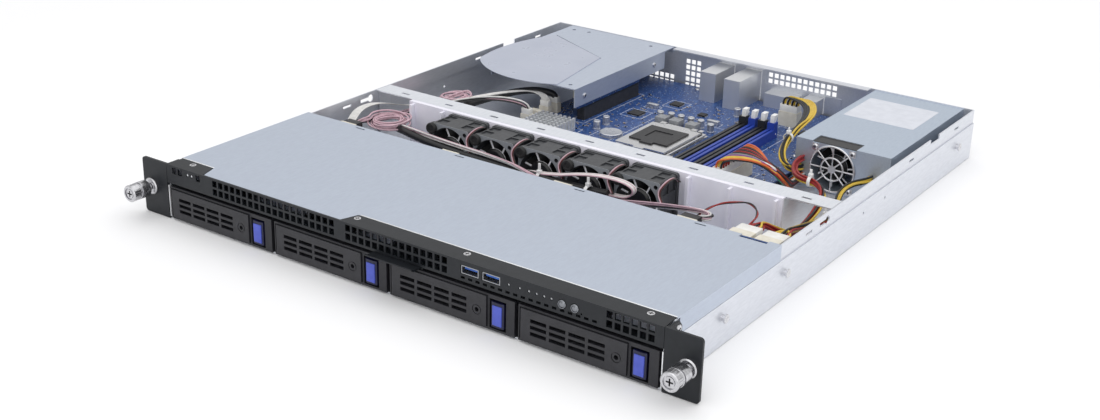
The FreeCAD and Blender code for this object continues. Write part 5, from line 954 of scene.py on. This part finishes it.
drive_line = [
    (190, 355.6, 22), (190, 348, 22), (183, 334, 22), (182, 318, 20), (187, 302, 17), (193, 282, 15),
    (193, 256, 18), (192, 224, 24), (196, 202, 31),
]
second_line = [
    (130.5, 355.6, 25.5), (130.5, 345, 25.5), (136, 328, 25.5), (147, 311, 27), (158, 302, 29.5),
    (170, 299, 30), (180, 292, 27), (184, 276, 21), (184, 255, 14), (183, 232, 14), (181, 212, 24),
    (175, 202, 31),
]
drive_routes = {"yellow": [], "black": [], "red": []}
for line, plug_x, colours in (
    (drive_line, 196, ("yellow", "yellow", "black", "black", "red", "yellow")),
    (second_line, 175, ("red", "red", "black", "red", "yellow", "red")),
):
    for index, colour in enumerate(colours):
        pin_x = plug_x - 6 + 2.4 * index
        strand = beside(line, index, 6, 2.6)
        drive_routes[colour].append(strand + [(pin_x, 194, 32), (pin_x, 184.9, 31)])
for colour, routes in drive_routes.items():
    run_wires(f"drive_power_{colour}", colour, power_radius, routes)

fan_line = [
    (-116, 361, 23), (-116, 361, 27), (-140, 352, 28), (-170, 330, 18), (-188, 296, 10), (-182, 262, 8),
    (-180, 236, 12), (-178, 214, 22), (-160, 198, 29), (-110, 187, 27.5), (-60, 186, 26.5),
    (-10, 185.5, 26.5), (40, 186, 27), (54, 187, 28),
]
sleeve_radius, signal_radius, lead_radius, twist_radius = 3.1, 0.62, 0.5, 0.6
run_wires("fan_sleeve", "black", sleeve_radius, [fan_line])
signal_line = [
    (-178, 214, 22), (-164, 202, 30), (-130, 193, 32), (-95, 189, 32), (-60, 187, 32), (-36, 184.5, 31.6),
    (-20, 181.2, 30), (-4, 179.8, 26.8), (12, 180.4, 24), (30, 181.2, 23), (46, 182, 23.2), (66, 184.5, 25),
    (84, 186, 28), (104, 186, 31.5), (124, 187, 34), (138, 188, 34.5), (143, 186, 33.5), (139, 183.4, 32),
    (132, 182.6, 31.2), (130.5, 179.8, 31),
]
ribbon_line = [
    (-24, 185.5, 27), (6, 185, 31), (26, 185, 37), (48, 185, 41), (69, 186, 40.5), (77, 187, 35.5),
    (70, 188, 27.5), (54, 188, 26.5), (38, 187, 27),
]
signal_routes = {"pink": [], "white": [], "black": []}
for index, colour in enumerate(("pink", "pink", "white", "pink", "black", "pink", "white")):
    signal_routes[colour].append(beside(signal_line, index, 7, 2.0, 0.2))
for index, colour in enumerate(("pink", "white", "white", "pink", "white")):
    signal_routes[colour].append([(x, y + 1.2 * index, z) for x, y, z in ribbon_line])
for colour, routes in signal_routes.items():
    run_wires(f"fan_signal_{colour}", colour, signal_radius, routes)
lead_routes = {"pink": [], "maroon": [], "black": []}
for i in range(5):
    gap_x = fan_first + fan_pitch * (i + 0.5)
    for index, colour in enumerate(lead_routes):
        x = gap_x + 1.2 * (index - 1)
        lead_routes[colour].append([
            (x - 1, 224, 36), (x, 218, 41), (x + 1, 208, 43), (x + 0.5, 199, 41), (x - 1.5, 196.2, 36),
            (x + 1, 194.5, 31), (x + 8, 188, 28.8),
        ])
for colour, routes in lead_routes.items():
    run_wires(f"fan_lead_{colour}", colour, lead_radius, routes)
twist_line = [
    (132, 179.8, 32), (132, 194, 33.5), (138, 207, 35), (146, 214, 36), (153, 221, 36), (161, 217, 35),
    (168, 207, 33.5), (170, 196, 32), (170, 184.9, 31.5),
]
for index, colour in enumerate(("black", "red")):
    run_wires(f"twisted_{colour}", colour, twist_radius, [beside(twist_line, 2 * index, 3, 1.0, 1.4)])


def coil(centre, reach, first, turns_on):
    """A loose coil's points, twelve to a turn from a clock angle on, no two turns of one size."""
    made = []
    steps = round(12 * turns_on)
    for step in range(steps + 1):
        angle = math.radians(first + 30 * step)
        size = reach + 2.2 * math.sin(0.37 * step) + 0.9 * math.sin(0.9 * step)
        rise = 5 * step / steps + 0.8 * math.sin(0.7 * step)
        made.append((
            centre[0] + size * math.cos(angle), centre[1] + 1.1 * size * math.sin(angle), centre[2] + rise,
        ))
    return made


data_radius, flat_radius = 0.75, 0.55
data_start = [(-116, 319, 22.8), (-116, 319, 27), (-135, 312, 30), (-160, 300, 28)]
data_end = [(-190, 187, 32), (-190.5, 179.8, 31)]
straight_line = data_start + [(-187, 266, 22), (-192, 238, 22), (-192, 205, 27)] + data_end
slack_routes = []
for index in range(3):
    rear_coil = coil((-182, 302, 21 + index), 9 + 1.6 * index, 20, 2.2)
    front_coil = coil((-177 + 2 * index, 206 - index, 26 + 1.4 * index), 11.5 + 2 * index, 135, 3.25)
    slack_line = data_start + rear_coil + [(-190, 268, 22), (-191, 240, 25)] + front_coil + data_end
    slack_routes.append(beside(slack_line, index, 3, 1.2, 0.3))
data_routes = {
    "pink": slack_routes,
    "black": [beside(straight_line, index, 4, 2.2) for index in range(3)],
    "white": [beside(straight_line, 3, 4, 2.2)],
}
for colour, routes in data_routes.items():
    run_wires(f"data_{colour}", colour, data_radius, routes)
flat_line = [
    (-116, 347, 22.8), (-116, 347, 28), (-130, 344, 31), (-152, 330, 28), (-174, 300, 24), (-192, 272, 22),
    (-199, 246, 28), (-202, 222, 36), (-203, 204, 37), (-200, 190, 35), (-195, 179.8, 32),
]
flat_routes = [[(x + 0.9 * i, y + 0.5 * i, z) for x, y, z in flat_line] for i in range(-3, 4)]
run_wires("flat_cable_white", "white", flat_radius, flat_routes)


# Cable ties
# White straps drawn round the bundles, each with its lock and cut tail.

tie_white = new_finish("tie_white", (0.84, 0.84, 0.84), 0.0, 0.4)
tint(tie_white, noise(tie_white, 200, 2), (0.80, 0.80, 0.80), (0.87, 0.87, 0.86))


def tie(name, centre, radius, axis, tail_length):
    """A strap as a short tube round one axis, a lock block on its top and an upright tail."""
    half_width, outer = 1.3, radius + 0.55
    rings = (
        (-half_width, radius), (-half_width, outer), (half_width, outer), (half_width, radius),
        (-half_width, radius),
    )
    strap = bored(turned(name, centre, axis, rings, 28))
    half = Vector((1.7, 1.7, 1.5))
    lock_at = Vector(centre) + Vector((0, 0, radius + 1.2))
    lock = soften(boxed("lock", lock_at - half, lock_at + half), 0.3)
    tail_half = Vector((0.45, 0.45, tail_length / 2))
    tail_half["XYZ".index(axis)] = 1.1
    tail_at = lock_at + Vector((0, 0, tail_length / 2))
    tail = soften(boxed("tail", tail_at - tail_half, tail_at + tail_half), 0.2)
    return settle(gather(name, [strap, lock, tail]), tie_white)


tie("sleeve_tie_1", (-8, 185.6, 26.5), 3.3, "X", 7)
tie("sleeve_tie_2", (38, 184, 25.2), 6.0, "X", 6)
tie("processor_tie", (109, 372.5, 32.5), 3.7, "Y", 4)
tie("second_tie", (164, 300.5, 30), 3.7, "X", 5)
tie("drive_tie", (193, 269, 16.5), 3.7, "Y", 4)


# Floor, light and camera
# A plain pale floor, soft studio light from above and the front, and the photograph's view.

bpy.ops.object.select_all(action="DESELECT")
bpy.ops.mesh.primitive_plane_add(size=30, location=(0, 0, -0.0005))
floor = bpy.context.object
floor.name = "floor"
floor_pale = new_finish("floor_pale", (0.93, 0.93, 0.94), 0.0, 0.9)
floor.data.materials.append(floor_pale)

world = bpy.data.worlds.new("studio")
bpy.context.scene.world = world
world.use_nodes = True
sky = world.node_tree.nodes["Background"]
sky.inputs["Color"].default_value = (1, 1, 1, 1)
sky.inputs["Strength"].default_value = 0.75


def soft_lamp(name, place, target, size, power):
    """A square area lamp that looks at a point."""
    bpy.ops.object.light_add(type="AREA", location=place)
    lamp = bpy.context.object
    lamp.name = name
    lamp.data.size = size
    lamp.data.energy = power
    lamp.rotation_euler = (Vector(target) - Vector(place)).to_track_quat("-Z", "Y").to_euler()


soft_lamp("top_light", (0.2, 0.3, 1.8), (0, 0.25, 0), 3.4, 23)
soft_lamp("front_light", (0.9, -1.6, 1.0), (0, 0.1, 0), 2.4, 11)

azimuth, elevation, roll = math.radians(34.56), math.radians(22.69), math.radians(1.48)
back = Vector((
    math.sin(azimuth) * math.cos(elevation),
    -math.cos(azimuth) * math.cos(elevation),
    math.sin(elevation),
))
level = Vector((math.cos(azimuth), math.sin(azimuth), 0))
upright = back.cross(level)
right = level * math.cos(roll) + upright * math.sin(roll)
up = upright * math.cos(roll) - level * math.sin(roll)
bpy.ops.object.camera_add()
camera = bpy.context.object
turn = Matrix((right, up, back)).transposed()
camera_place = (0.6069, -0.69131, 0.44731)
camera.matrix_world = Matrix.Translation(camera_place) @ turn.to_4x4()
camera.data.sensor_width = 36
camera.data.lens = 49.17
camera.data.clip_start = 0.02
bpy.context.scene.camera = camera

scene_view = bpy.context.scene.view_settings
scene_view.view_transform = "Standard"
